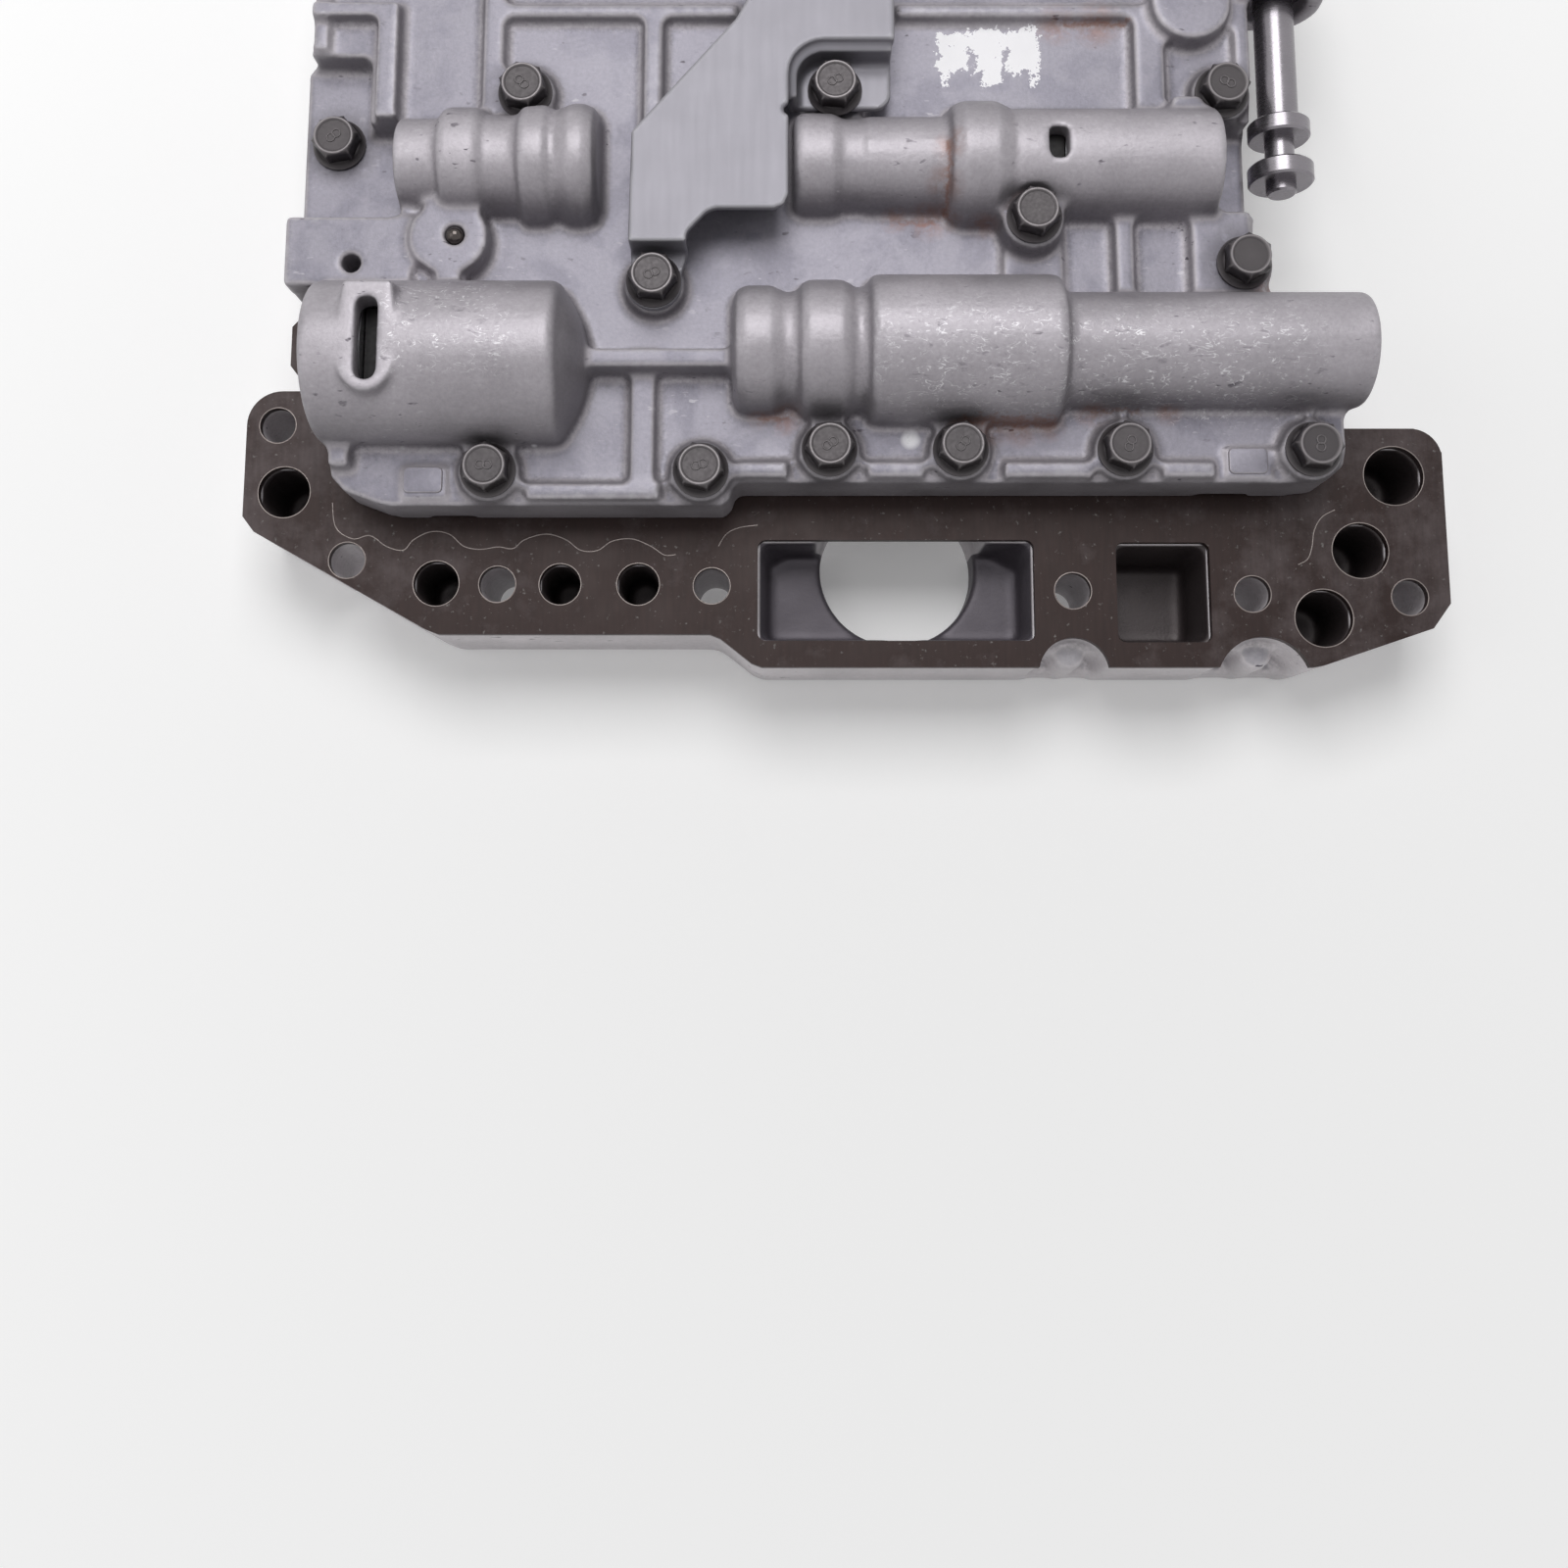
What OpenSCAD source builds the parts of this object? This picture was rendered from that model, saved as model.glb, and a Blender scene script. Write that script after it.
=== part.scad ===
// Transmission valve body: two aluminium castings clamped over a steel separator plate.
// The upper casting carries four stepped valve housings, a sliding manual valve and a stamped bracket.
// X runs left to right, Y from the front edge to the back, Z up from the lower casting's underside.

/* [Overall] */
// width of the separator plate, left to right
body_w = 293; // [288:1:300]
// depth of the castings, front to back
body_d = 205; // [202:1:210]
// height of the lower casting
lower_h = 27; // [25:0.5:31]
// thickness of the separator plate
plate_t = 2; // [1.6:0.1:2.6]
// height of the upper casting's deck over the plate
deck_h = 14; // [13.5:0.25:15]
// height of ribs, pads and bolt bosses over the deck
rim_h = 3; // [2.6:0.1:3.4]

/* [Accumulator housing] */
// outer diameter of the housing
acc_od = 38; // [37:0.25:39]
// bore for the piston and the cover
acc_bore = 30; // [28:0.25:30.5]
// travel of the piston against its spring
acc_travel = 8; // [5:0.5:10]

/* [Regulator housing] */
// outer diameter of the wide part
reg_od = 35; // [34:0.25:36]
// outer diameter of the long end
reg_end_od = 27; // [26.5:0.25:28]
// bore for the sleeve, the spring and the plug
reg_bore = 21; // [20:0.25:21.5]
// bore for the spool
reg_spool_bore = 16; // [14:0.25:16.5]
// travel of the spool against its spring
reg_travel = 6; // [4:0.5:8]

/* [Shift valve housing] */
// outer diameter of the main part
shift_od = 27; // [26.5:0.25:28]
// outer diameter of the raised ring
shift_ring_od = 30.4; // [30:0.1:31]
// bore for the spool and the plug
shift_bore = 17; // [15:0.25:17.5]
// travel of the spool against its spring
shift_travel = 7; // [4:0.5:8]

/* [Relay valve housing] */
// outer diameter of the wide closed end
relay_od = 29.5; // [29:0.25:31]
// bore for the spool and the plug
relay_bore = 15; // [13:0.25:15.5]
// travel of the spool against its spring
relay_travel = 6; // [4:0.5:7]

/* [Manual valve] */
// diameter of the bore and of the valve's lands
manual_bore = 16; // [15:0.25:16.5]
// diameter of the polished rod
manual_rod = 9.6; // [9:0.1:11]
// diameter of the two discs that the shift lever's pin sits between
manual_disc = 15.6; // [14.6:0.1:16]

/* [Fasteners and holes] */
// thread diameter of the flange bolts
bolt_d = 6; // [5.5:0.25:6.25]
// hexagon size across flats
bolt_af = 10; // [9:0.25:10.5]
// flange diameter of the bolts
bolt_flange = 13; // [12.5:0.1:13.4]
// length of a body bolt under its head
bolt_len = 30; // [27:0.5:31]
// length of a bracket bolt under its head
tab_bolt_len = 14; // [12:0.5:15]
// diameter of the mounting holes through plate and lower casting
mount_hole = 8.8; // [8.4:0.1:9.2]
// thickness of the bracket's sheet
sheet_t = 2; // [1.6:0.1:2.4]
// radial clearance of each spool in its bore
run_clear = 0.03; // [0.02:0.01:0.05]

/* [Hidden] */

$fn = 48;
eps = 0.01;
fit_gap = 0.05;

// plan positions are given for the nominal width and depth, and stretch with both
kx = body_w / 293;
ky = body_d / 205;

// heights
z_seat = lower_h + plate_t;
z_deck = z_seat + deck_h;
z_rim = z_deck + rim_h;
z_top = z_seat + 40;
z_shelf = z_seat + 7;
z_high = z_rim + 5;
z_sheet = z_rim + 8;

// valve axes as [y, z]
relay_axis = [119.3 * ky, z_shelf + relay_bore / 2 + 0.5];
shift_axis = [119.5 * ky, z_shelf + shift_bore / 2 - 0.5];
acc_axis = [69.5 * ky, z_seat + 3 + acc_bore / 2];
reg_axis = [73 * ky, z_seat + 17];
manual_axis = [106.5 * kx, z_seat + 11];

// open ends and closed ends of the bores, along X
relay_mouth = -106.5;
relay_end = -61.6;
shift_mouth = 88.6;
shift_end = -7.5;
acc_mouth = -123.3;
acc_end = -70;
reg_mouth = 121.3;
reg_step = 22;
reg_end = -22;
// sides of the retaining rings that face the plugs
relay_ring_x = relay_mouth + 2.4;
reg_ring_x = reg_mouth - 3.2;
// slots of the two retaining keys, as plan corners
shift_slot = [[47.4, 116.3], [51.8, 124]];
acc_slot = [[-110.1, 60], [-105.5, 79]];

// body bolts that sit on raised bosses, and the one that sits on the low shelf at the left
bolt_at = [[-83.5, 44], [-34, 44], [-4, 49], [26.6, 49], [65, 49], [108.8, 49],
    [94.6, 94.5], [-77, 137.5], [91, 137.5],
    [-110, 192], [-20, 192], [78, 192]];
shelf_bolt = [-124.4, 129];
// the body bolt on the tall boss beside the shift valve's housing
high_bolt = [44.2, 103.8];
// the bolt whose boss stands out of the right edge
edge_bolt = bolt_at[6];
bracket_bolt_at = [[-2.4, 137], [-45.3, 89.2]];
boss_r = bolt_flange / 2 + 0.7;

// plate features
mount_at = [[-138.9, 59.8], [-120.6, 26.1], [-84, 20.2], [-32.1, 19.8], [55.3, 18.6], [98.7, 17.8],
    [136.7, 17]];
// oil ports as [x, y, radius]
ports = [[-136.6, 43, 6.3], [-98.8, 20.4, 5.5], [-68.8, 20.2, 5], [-49.9, 20.2, 5.1],
    [134.4, 47.1, 7.3], [125.3, 28.5, 6.8], [115.7, 11.9, 7]];
// suction window in the plate, and the round pipe bore under it
win = [[-21, 6.4], [46, 31.1]];
suction_at = [14, 27];
suction_r = 19.5;
pipe_h = 12;
// blind oil pocket beside it
pocket = [[65.9, 6], [88.6, 30.5]];
dowel_at = [[-55, 52], [66, 178]];
dowel_r = 3;
ball_at = [[-72, 118], [-20, 122], [36, 148]];
check_r = 3;
plug_ball = [-92.3, 100.1];
plug_ball_r = 2.3;
plug_seat_r = 1.2;
plug_ball_z = z_rim + 2.6;

function at(p) = [p[0] * kx, p[1] * ky];
function pts(list) = [for (p = list) at(p)];
// points of an arc round c from angle a0 to angle a1
function arc(c, r, a0, a1) = [for (i = [0:8]) let (a = a0 + (a1 - a0) * i / 8)
    [c[0] + r * cos(a), c[1] + r * sin(a)]];
function along(list) = [for (p = list) [p[0], p[1] * kx]];
// one rounded step of a turned outline, from x0 to x1 at radius r, with edges broken by b
function bead(x0, x1, r, b) = [[r - b, x0], [r - 0.3 * b, x0 + 0.3 * b], [r, x0 + b],
    [r, x1 - b], [r - 0.3 * b, x1 - 0.3 * b], [r - b, x1]];

module centred() {
    translate([0, -body_d / 2, 0]) children();
}

// a box between two plan corners and two heights
module block(x0, y0, x1, y1, z0, z1) {
    translate([x0 * kx, y0 * ky, z0]) cube([(x1 - x0) * kx, (y1 - y0) * ky, z1 - z0]);
}

// a key slot from a height up through the housing
module slot(c, z0) {
    block(c[0][0], c[0][1], c[1][0], c[1][1], z0, z_top);
}

// an upright round post or hole
module post(p, r, z0, z1) {
    translate([p[0] * kx, p[1] * ky, z0]) cylinder(r = r, h = z1 - z0);
}

// a turned solid along X from an outline of [radius, x]
module turn_x(axis, outline) {
    translate([0, axis[0], axis[1]]) rotate([0, 90, 0]) rotate_extrude() polygon(along(outline));
}

// a straight round along X
module rod_x(axis, x0, x1, r) {
    translate([x0 * kx, axis[0], axis[1]]) rotate([0, 90, 0]) cylinder(r = r, h = (x1 - x0) * kx);
}

// a bore along X with a broken edge at its mouth, where way is 1 if it opens to the right
module bore_x(axis, x_end, x_mouth, r, way) {
    rod_x(axis, min(x_end, x_mouth + way), max(x_end, x_mouth + way), r);
    turn_x(axis, [[0, x_mouth + way], [r + 1.8, x_mouth + way], [r, x_mouth - 0.8 * way],
        [0, x_mouth - 0.8 * way]]);
}

// a solid ring with a gap, lying across X
module snap_ring(axis, x0, x1, r_in, r_out) {
    difference() {
        rod_x(axis, x0, x1, r_out);
        rod_x(axis, x0 - 1, x1 + 1, r_in);
        translate([x0 * kx - 1, axis[0] - 2.5, axis[1]]) cube([(x1 - x0) * kx + 2, 5, r_out + 1]);
    }
}

// a coil spring along X: one tube swept round its axis, with a closed turn at each end
module coil_x(axis, x0, x1, r, wire, turns) {
    steps = 14;
    sides = 7;
    n = round(turns * steps);
    len = (x1 - x0) * kx - 2 * wire;
    shut = 2.1 * wire;
    function rise(t) = t < 1 ? shut * t
        : t > turns - 1 ? len - shut * (turns - t)
        : shut + (len - 2 * shut) * (t - 1) / (turns - 2);
    ring = [for (i = [0:n], k = [0:sides - 1])
        let (a = 360 * i / steps, b = 360 * k / sides, q = r + wire * cos(b))
            [x0 * kx + wire + rise(i / steps) + wire * sin(b), axis[0] + q * cos(a), axis[1] + q * sin(a)]];
    near = [for (i = [0:n - 1], k = [0:sides - 1])
        [i * sides + k, i * sides + (k + 1) % sides, (i + 1) * sides + k]];
    far = [for (i = [0:n - 1], k = [0:sides - 1])
        [(i + 1) * sides + k, i * sides + (k + 1) % sides, (i + 1) * sides + (k + 1) % sides]];
    ends = [[for (k = [0:sides - 1]) sides - 1 - k], [for (k = [0:sides - 1]) n * sides + k]];
    polyhedron(points = ring, faces = concat(near, far, ends), convexity = 6);
}

// arches in the front edge as [x, y, radius]
arches = [[55.3, -1.4, 8.6], [101, -4.2, 11.6]];

// plan of the separator plate and of the lower casting
module plan() {
    difference() {
        union() {
            polygon(pts([[-146.5, 60], [-146.5, 37], [-143.6, 33.2], [-101.5, 9.4], [-98, 8], [-32.5, 8],
                [-30, 7], [-22.5, 1], [-20, 0], [113, 0], [115.5, 0.5], [142, 9.4], [146.5, 15.5],
                [146.5, 53], [140, 59], [98, 59], [98, 205], [-129, 205], [-129, 150], [-132, 148],
                [-132, 90], [-136.5, 85], [-136.5, 75], [-133, 70.5], [-133, 68.5], [-138, 68.5]]));
            translate(at([-138, 60])) circle(r = 8.5 * kx);
            translate(at([139, 51.5])) circle(r = 7.5 * kx);
            translate(at(edge_bolt)) circle(r = boss_r);
        }
        for (a = arches) translate(at(a)) circle(r = a[2]);
    }
}

// plan of the upper casting's slab
module deck_plan() {
    union() {
        polygon(pts([[-121, 50.5], [-121.2, 43.5], [-118, 40], [-110, 37], [-107, 36.4], [-29, 36.4],
            [-27.2, 38], [-26.5, 41], [-25, 41.8], [106, 41.8], [113, 42.6], [117, 46], [118, 51],
            [118, 86], [102, 88], [98.2, 103], [99, 110], [99, 203], [-129.5, 203], [-129.5, 150],
            [-133, 148], [-133, 89], [-122.5, 88], [-122.5, 50.5]]));
        translate(at(edge_bolt)) circle(r = boss_r + 0.6);
    }
}

// holes for bolts and dowels through the plate
module plate_holes_2d() {
    for (p = concat(bolt_at, [shelf_bolt, high_bolt])) translate(at(p)) circle(d = bolt_d + 0.6);
    for (p = dowel_at) translate(at(p)) circle(r = dowel_r + fit_gap);
    for (p = mount_at) translate(at(p)) circle(d = mount_hole);
    for (p = ports) translate(at(p)) circle(r = p[2]);
}

module rounded_window(c, r) {
    a = at(c[0]);
    b = at(c[1]);
    union() {
        translate([a[0] + r, a[1]]) square([b[0] - a[0] - 2 * r, b[1] - a[1]]);
        translate([a[0], a[1] + r]) square([b[0] - a[0], b[1] - a[1] - 2 * r]);
        for (x = [a[0] + r, b[0] - r], y = [a[1] + r, b[1] - r]) translate([x, y]) circle(r = r);
    }
}

// oil channels cast into the lower casting's underside, as [x0, y0, x1, y1]
channels = [[-112, 78, -104, 190], [-94, 84, -40, 92], [-94, 102, -60, 110], [-94, 128, -30, 136],
    [-94, 148, -86, 190], [-72, 152, -64, 192], [-46, 152, -4, 160], [-46, 172, 20, 180],
    [10, 70, 18, 130], [34, 64, 82, 72], [58, 84, 66, 160], [30, 142, 48, 150], [80, 100, 86, 180],
    [-74, 60, -20, 68]];

module lower_body() {
    color([0.66, 0.66, 0.68]) centred() difference() {
        union() {
            linear_extrude(lower_h) plan();
            // ledge and rounded column that show through each arch of the plate
            for (a = arches) {
                block(a[0] - a[2], 0.6, a[0] + a[2], a[1] + a[2] + 2, 0, 9);
                post([a[0], 4.4], 4.2, 0, lower_h - 5);
            }
        }
        // bolt and dowel holes
        for (p = bolt_at) post(p, bolt_d / 2 + fit_gap, z_rim - bolt_len - 2, lower_h + 1);
        post(shelf_bolt, bolt_d / 2 + fit_gap, z_shelf - bolt_len - 1, lower_h + 1);
        post(high_bolt, bolt_d / 2 + fit_gap, z_high - bolt_len - 2, lower_h + 1);
        for (p = dowel_at) post(p, dowel_r + fit_gap, lower_h - 8, lower_h + 1);
        // mounting holes go right through, oil ports are blind
        for (p = mount_at) post(p, mount_hole / 2, -1, lower_h + 1);
        for (p = ports) post(p, p[2] - 0.4, 7, lower_h + 1);
        // suction funnel with cut far corners, over a round pipe bore
        post(suction_at, suction_r, -1, pipe_h + eps);
        post(suction_at, suction_r + 0.8, pipe_h, lower_h + 1);
        hull() {
            block(win[0][0] + 0.6, win[0][1] + 0.6, win[1][0] - 0.6, win[1][1] - 0.6, lower_h, lower_h + 1);
            translate([0, 0, pipe_h]) linear_extrude(eps) polygon(pts([[win[0][0] + 2.5, win[0][1] + 1.6],
                [win[1][0] - 1.5, win[0][1] + 1.6], [win[1][0] - 1.5, win[1][1] - 4.8],
                [win[1][0] - 9.5, win[1][1] - 0.6], [win[0][0] + 8, win[1][1] - 0.6],
                [win[0][0] + 2.5, win[1][1] - 3.5]]));
        }
        // blind pocket with drafted walls
        hull() {
            block(pocket[0][0] + 0.6, pocket[0][1] + 0.6, pocket[1][0] - 0.6, pocket[1][1] - 0.6,
                lower_h, lower_h + 1);
            block(pocket[0][0] + 1.6, pocket[0][1] + 2, pocket[1][0] - 1.4, pocket[1][1] - 2.7, 8, 8 + eps);
        }
        // seats for the check balls
        for (p = ball_at) post(p, check_r + 0.3, lower_h - 2 * check_r - 0.4, lower_h + 1);
        for (c = channels) block(c[0], c[1], c[2], c[3], -1, 13);
    }
}

module separator_plate() {
    color([0.24, 0.21, 0.2]) centred() translate([0, 0, lower_h]) linear_extrude(plate_t) difference() {
        plan();
        plate_holes_2d();
        rounded_window(win, 2);
        rounded_window(pocket, 2);
    }
}

// outlines of the four housings as [radius, x]
relay_outline = concat([[0, relay_mouth]], bead(relay_mouth, -97.4, relay_od / 2 - 3.4, 0.8),
    bead(-96.4, -85.5, relay_od / 2 - 0.8, 2.4), bead(-85.1, -77.9, relay_od / 2 - 2.6, 0.6),
    bead(-77.2, -69.8, relay_od / 2 - 0.3, 1.6), bead(-68.6, -58.5, relay_od / 2, 3.6), [[0, -58.5]]);
shift_outline = concat([[0, -12.3]], bead(-12.3, -1, shift_od / 2 - 1.1, 2.2),
    bead(-0.4, 3.6, shift_od / 2 - 2.4, 0.4), bead(4.2, 23.3, shift_od / 2 - 1.9, 0.9),
    bead(23.8, 39.8, shift_ring_od / 2, 4.2), bead(40.1, shift_mouth, shift_od / 2, 0.9), [[0, shift_mouth]]);
acc_outline = [[0, acc_mouth], [acc_od / 2 - 0.9, acc_mouth], [acc_od / 2, acc_mouth + 0.9],
    [acc_od / 2, -69], [acc_od / 2 - 0.5, -68], [acc_od / 2 - 1.4, -67.4],
    [acc_od / 2 - 2.4, -67.1], [acc_od / 2 - 3, -66.2],
    [acc_od / 2 - 5, -65.2], [acc_od / 2 - 7.5, -63.8], [acc_od / 2 - 10.5, -62.3], [acc_od / 2 - 14, -61.1],
    [0, -60.6]];
reg_outline = concat([[0, -26.5]], bead(-26.5, -14.5, reg_od / 2 - 2.5, 3.2),
    bead(-14, -11.9, reg_od / 2 - 4, 0.3), bead(-11.4, 1.6, reg_od / 2 - 1.2, 2.8),
    bead(2, 4.6, reg_od / 2 - 3, 0.4), bead(5, 50.1, reg_od / 2, 2),
    bead(50.4, reg_mouth, reg_end_od / 2, 0.9), [[0, reg_mouth]]);

// ribs and pads on the deck as [x0, y0, x1, y1, height over the deck in rims]
ribs = [
    // rims of the front edge, between the bolts
    [-24.7, 42.6, -13.8, 46.4, 1], [5.1, 42.6, 17.9, 46.4, 1], [36.8, 42.6, 57.2, 46.4, 1],
    [74, 42.6, 86, 46.4, 1], [-74.8, 37.4, -43.6, 41.2, 1],
    // square pads of the front edge
    [-103.6, 38.2, -93.9, 45, 0.4], [89.5, 43, 99.5, 49.5, 0.4],
    // ribs between the housings
    [-50.6, 40, -45, 73, 0.9], [64.3, 84, 68.9, 108, 1], [82.5, 84, 97, 109, 1],
    // foot of the bolt boss between the shift valve and the regulator
    [38, 88, 51.8, 103, 0.6],
    // frames at the back
    [-113.2, 131, -108, 161, 1.4], [-129.5, 157.4, -112, 161, 1.4],
    [-87.7, 134, -82.6, 203, 1], [-82.7, 157.6, -26, 161, 1], [-48.6, 130, -44, 158, 1],
    [12.7, 157.6, 71, 161, 1], [70.4, 130, 77.8, 161, 1],
    [-129.5, 150, -126, 203, 0.6], [95.4, 142, 99, 203, 0.6], [-129.5, 199, 99, 203, 1]];

module upper_body() {
    color([0.6, 0.59, 0.61]) centred() difference() {
        union() {
            translate([0, 0, z_seat]) linear_extrude(deck_h) deck_plan();
            turn_x(relay_axis, relay_outline);
            turn_x(shift_axis, shift_outline);
            turn_x(acc_axis, acc_outline);
            turn_x(reg_axis, reg_outline);
            for (b = ribs) block(b[0], b[1], b[2], b[3], z_deck - 1, z_deck + rim_h * b[4]);
            for (p = concat(bolt_at, bracket_bolt_at)) post(p, boss_r, z_deck - 1, z_rim);
            post(high_bolt, boss_r + 0.2, z_deck - 1, z_high);
            // web between the accumulator and the regulator
            block(-64, 67.6, -24, 72.2, z_deck - 1, z_deck + 8);
            // lug at the accumulator's foot, pad and round boss between the two left housings
            block(-121, 45, -116, 52, z_deck - 1, z_rim + 1);
            block(-133, 88.5, -103, 105.6, z_deck - 1, z_rim + 2);
            post([-93.7, 99.9], 9.2, z_deck - 1, z_rim + 4);
            // collar round the key slot of the accumulator
            translate([0, acc_axis[0], acc_axis[1]]) linear_extrude(acc_od / 2 - 0.3) union() {
                translate([-113.6 * kx, -6.5]) square([11.6 * kx, 20]);
                translate([-107.8 * kx, -6.5]) circle(r = 5.8 * kx);
            }
            // block beside the shift valve's mouth, round boss behind it, manual valve's bearing
            block(78, 129, shift_mouth, 134.6, z_deck - 1, z_rim + 5);
            post([84, 160], 9.6, z_deck - 1, z_rim + 3);
            block(97, 163, 106.5, 203, manual_axis[1] - 6, manual_axis[1] + 6);
            translate([manual_axis[0], 163 * ky, manual_axis[1]]) rotate([-90, 0, 0])
                cylinder(d = manual_bore + 8, h = 40 * ky);
        }
        // nothing reaches below the mating face
        translate([-200, -50, z_seat - 60]) cube([400, 320, 60]);
        // low shelves in front of the relay valve's and the shift valve's mouths
        block(-140, 106, -115.4, 148.6, z_shelf, z_top);
        block(-140, 106, relay_mouth, 131, z_shelf, z_top);
        block(shift_mouth, 108, 110, 131, z_shelf, z_top);
        // bores
        bore_x(relay_axis, relay_end, relay_mouth, relay_bore / 2, -1);
        bore_x(shift_axis, shift_end, shift_mouth, shift_bore / 2, 1);
        bore_x(acc_axis, acc_end, acc_mouth, acc_bore / 2, -1);
        bore_x(reg_axis, reg_step, reg_mouth, reg_bore / 2, 1);
        rod_x(reg_axis, reg_end, reg_step + 1, reg_spool_bore / 2);
        rod_x(relay_axis, relay_ring_x - 1.2, relay_ring_x, relay_bore / 2 + 1);
        rod_x(reg_axis, reg_ring_x, reg_ring_x + 1.2, reg_bore / 2 + 1);
        translate([manual_axis[0], 100, manual_axis[1]]) rotate([-90, 0, 0])
            cylinder(d = manual_bore, h = 150);
        // key slots
        slot(shift_slot, shift_axis[1]);
        slot(acc_slot, acc_axis[1]);
        // bolts: clearance holes and spot faces, then the bracket's tapped holes
        for (p = bolt_at) {
            post(p, bolt_d / 2 + 0.3, z_seat - 1, z_rim + 1);
            post(p, boss_r - 0.2, z_rim, z_top);
        }
        post(shelf_bolt, bolt_d / 2 + 0.3, z_seat - 1, z_shelf + 1);
        post(high_bolt, bolt_d / 2 + 0.3, z_seat - 1, z_high + 1);
        post(high_bolt, boss_r - 0.2, z_high, z_top);
        for (p = bracket_bolt_at) {
            post(p, bolt_d / 2 + fit_gap, z_seat + 1, z_rim + 1);
            post(p, boss_r - 0.2, z_rim, z_top);
        }
        // relief for the manual valve's discs along the right side
        translate([manual_axis[0], 103 * ky, manual_axis[1]]) rotate([-90, 0, 0])
            cylinder(d = manual_disc + 1, h = 58 * ky);
        for (p = dowel_at) post(p, dowel_r + fit_gap, z_seat - 1, z_seat + 5);
        // ball plug's stepped hole, and the plain hole in the left pad
        post(plug_ball, plug_ball_r + 0.02,
            plug_ball_z - sqrt(pow(plug_ball_r, 2) - pow(plug_seat_r, 2)), z_top);
        post(plug_ball, plug_seat_r, z_seat + 3, z_top);
        post([-117, 94], 2.2, z_deck - 6, z_top);
        // undercut notches at the foot of the front wall
        block(-100, 35, -89, 38.6, z_seat - 1, z_seat + 2.5);
        block(85, 40, 98, 44, z_seat - 1, z_seat + 2.5);
    }
}

// centre of the pressed step's corner round the tab
step_at = [-5, 137.5];

// plan of the bracket's raised sheet
module bracket_top() {
    difference() {
        polygon(pts(concat([[-23.5, 178], [-23.5, 156], [-26, 151.3], [-50.3, 123.1], [-50.8, 96],
            [-37.4, 96], [-37, 98.4], [-32.6, 103.2], [-30.5, 104], [-17, 104], [-14.6, 105],
            [-13.5, 107.6], [-13.5, 130]],
            arc(step_at, 8.5, 180, 90), [[11.5, 146], [11.5, 178]])));
        translate(at([-13.8, 128.5])) circle(r = 1.5);
        translate(at([-6, 166])) circle(r = 3.2);
    }
}

module bracket() {
    color([0.66, 0.67, 0.68]) centred() {
        difference() {
            union() {
                translate([0, 0, z_sheet]) linear_extrude(sheet_t) bracket_top();
                // right tab and the wall down to it
                translate([0, 0, z_rim]) linear_extrude(z_sheet - z_rim + eps)
                    polygon(pts(concat([[-13.5, 132.5]], arc(step_at, 8.5, 180, 90), [[11, 146], [11, 144]],
                        arc(step_at, 6.5, 90, 180), [[-11.5, 132.5]])));
                translate([0, 0, z_rim]) linear_extrude(sheet_t) union() {
                    polygon(pts(concat([[-12.4, 132.5]], arc(step_at, 7.4, 180, 90),
                        [[11, 144.9], [11, 136.5], [7, 132.5]])));
                    translate(at([7, 136.5])) circle(r = 4 * ky);
                }
                // front tab and the wall down to it
                block(-50.8, 96, -37.4, 98, z_rim, z_sheet + eps);
                translate([0, 0, z_rim]) linear_extrude(sheet_t) union() {
                    polygon(pts([[-50.8, 96 + eps], [-50.8, 88], [-39.8, 88], [-37.4, 96 + eps]]));
                    translate(at(bracket_bolt_at[1])) circle(r = bolt_flange / 2 + 0.2);
                }
            }
            for (p = bracket_bolt_at) post(p, bolt_d / 2 + 0.3, z_rim - 1, z_sheet - 1);
        }
    }
}

// hexagon flange bolt, seated at z = 0
module flange_bolt(len) {
    intersection() {
        cylinder(d = bolt_af / cos(30), h = 6, $fn = 6);
        rotate_extrude() polygon([[0, 0], [bolt_af * 0.62, 0], [bolt_af * 0.62, 5.1],
            [bolt_af * 0.47, 6], [0, 6]]);
    }
    rotate_extrude() polygon([[0, 0], [bolt_flange / 2, 0], [bolt_flange / 2, 0.9],
        [bolt_af * 0.53, 1.9], [0, 1.9]]);
    translate([0, 0, -len]) cylinder(d1 = bolt_d - 1.6, d2 = bolt_d, h = 0.8);
    translate([0, 0, 0.8 - len]) cylinder(d = bolt_d, h = len);
}

module body_bolts() {
    color([0.22, 0.22, 0.23]) centred() {
        for (i = [0:len(bolt_at) - 1]) translate([bolt_at[i][0] * kx, bolt_at[i][1] * ky, z_rim])
            rotate([0, 0, 17 * i]) flange_bolt(bolt_len);
        translate([shelf_bolt[0] * kx, shelf_bolt[1] * ky, z_shelf]) rotate([0, 0, 40]) flange_bolt(bolt_len);
        translate([high_bolt[0] * kx, high_bolt[1] * ky, z_high]) rotate([0, 0, 15]) flange_bolt(bolt_len);
    }
}

module bracket_bolts() {
    color([0.22, 0.22, 0.23]) centred()
        for (p = bracket_bolt_at) translate([p[0] * kx, p[1] * ky, z_rim + sheet_t])
            rotate([0, 0, 25]) flange_bolt(tab_bolt_len);
}

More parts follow.
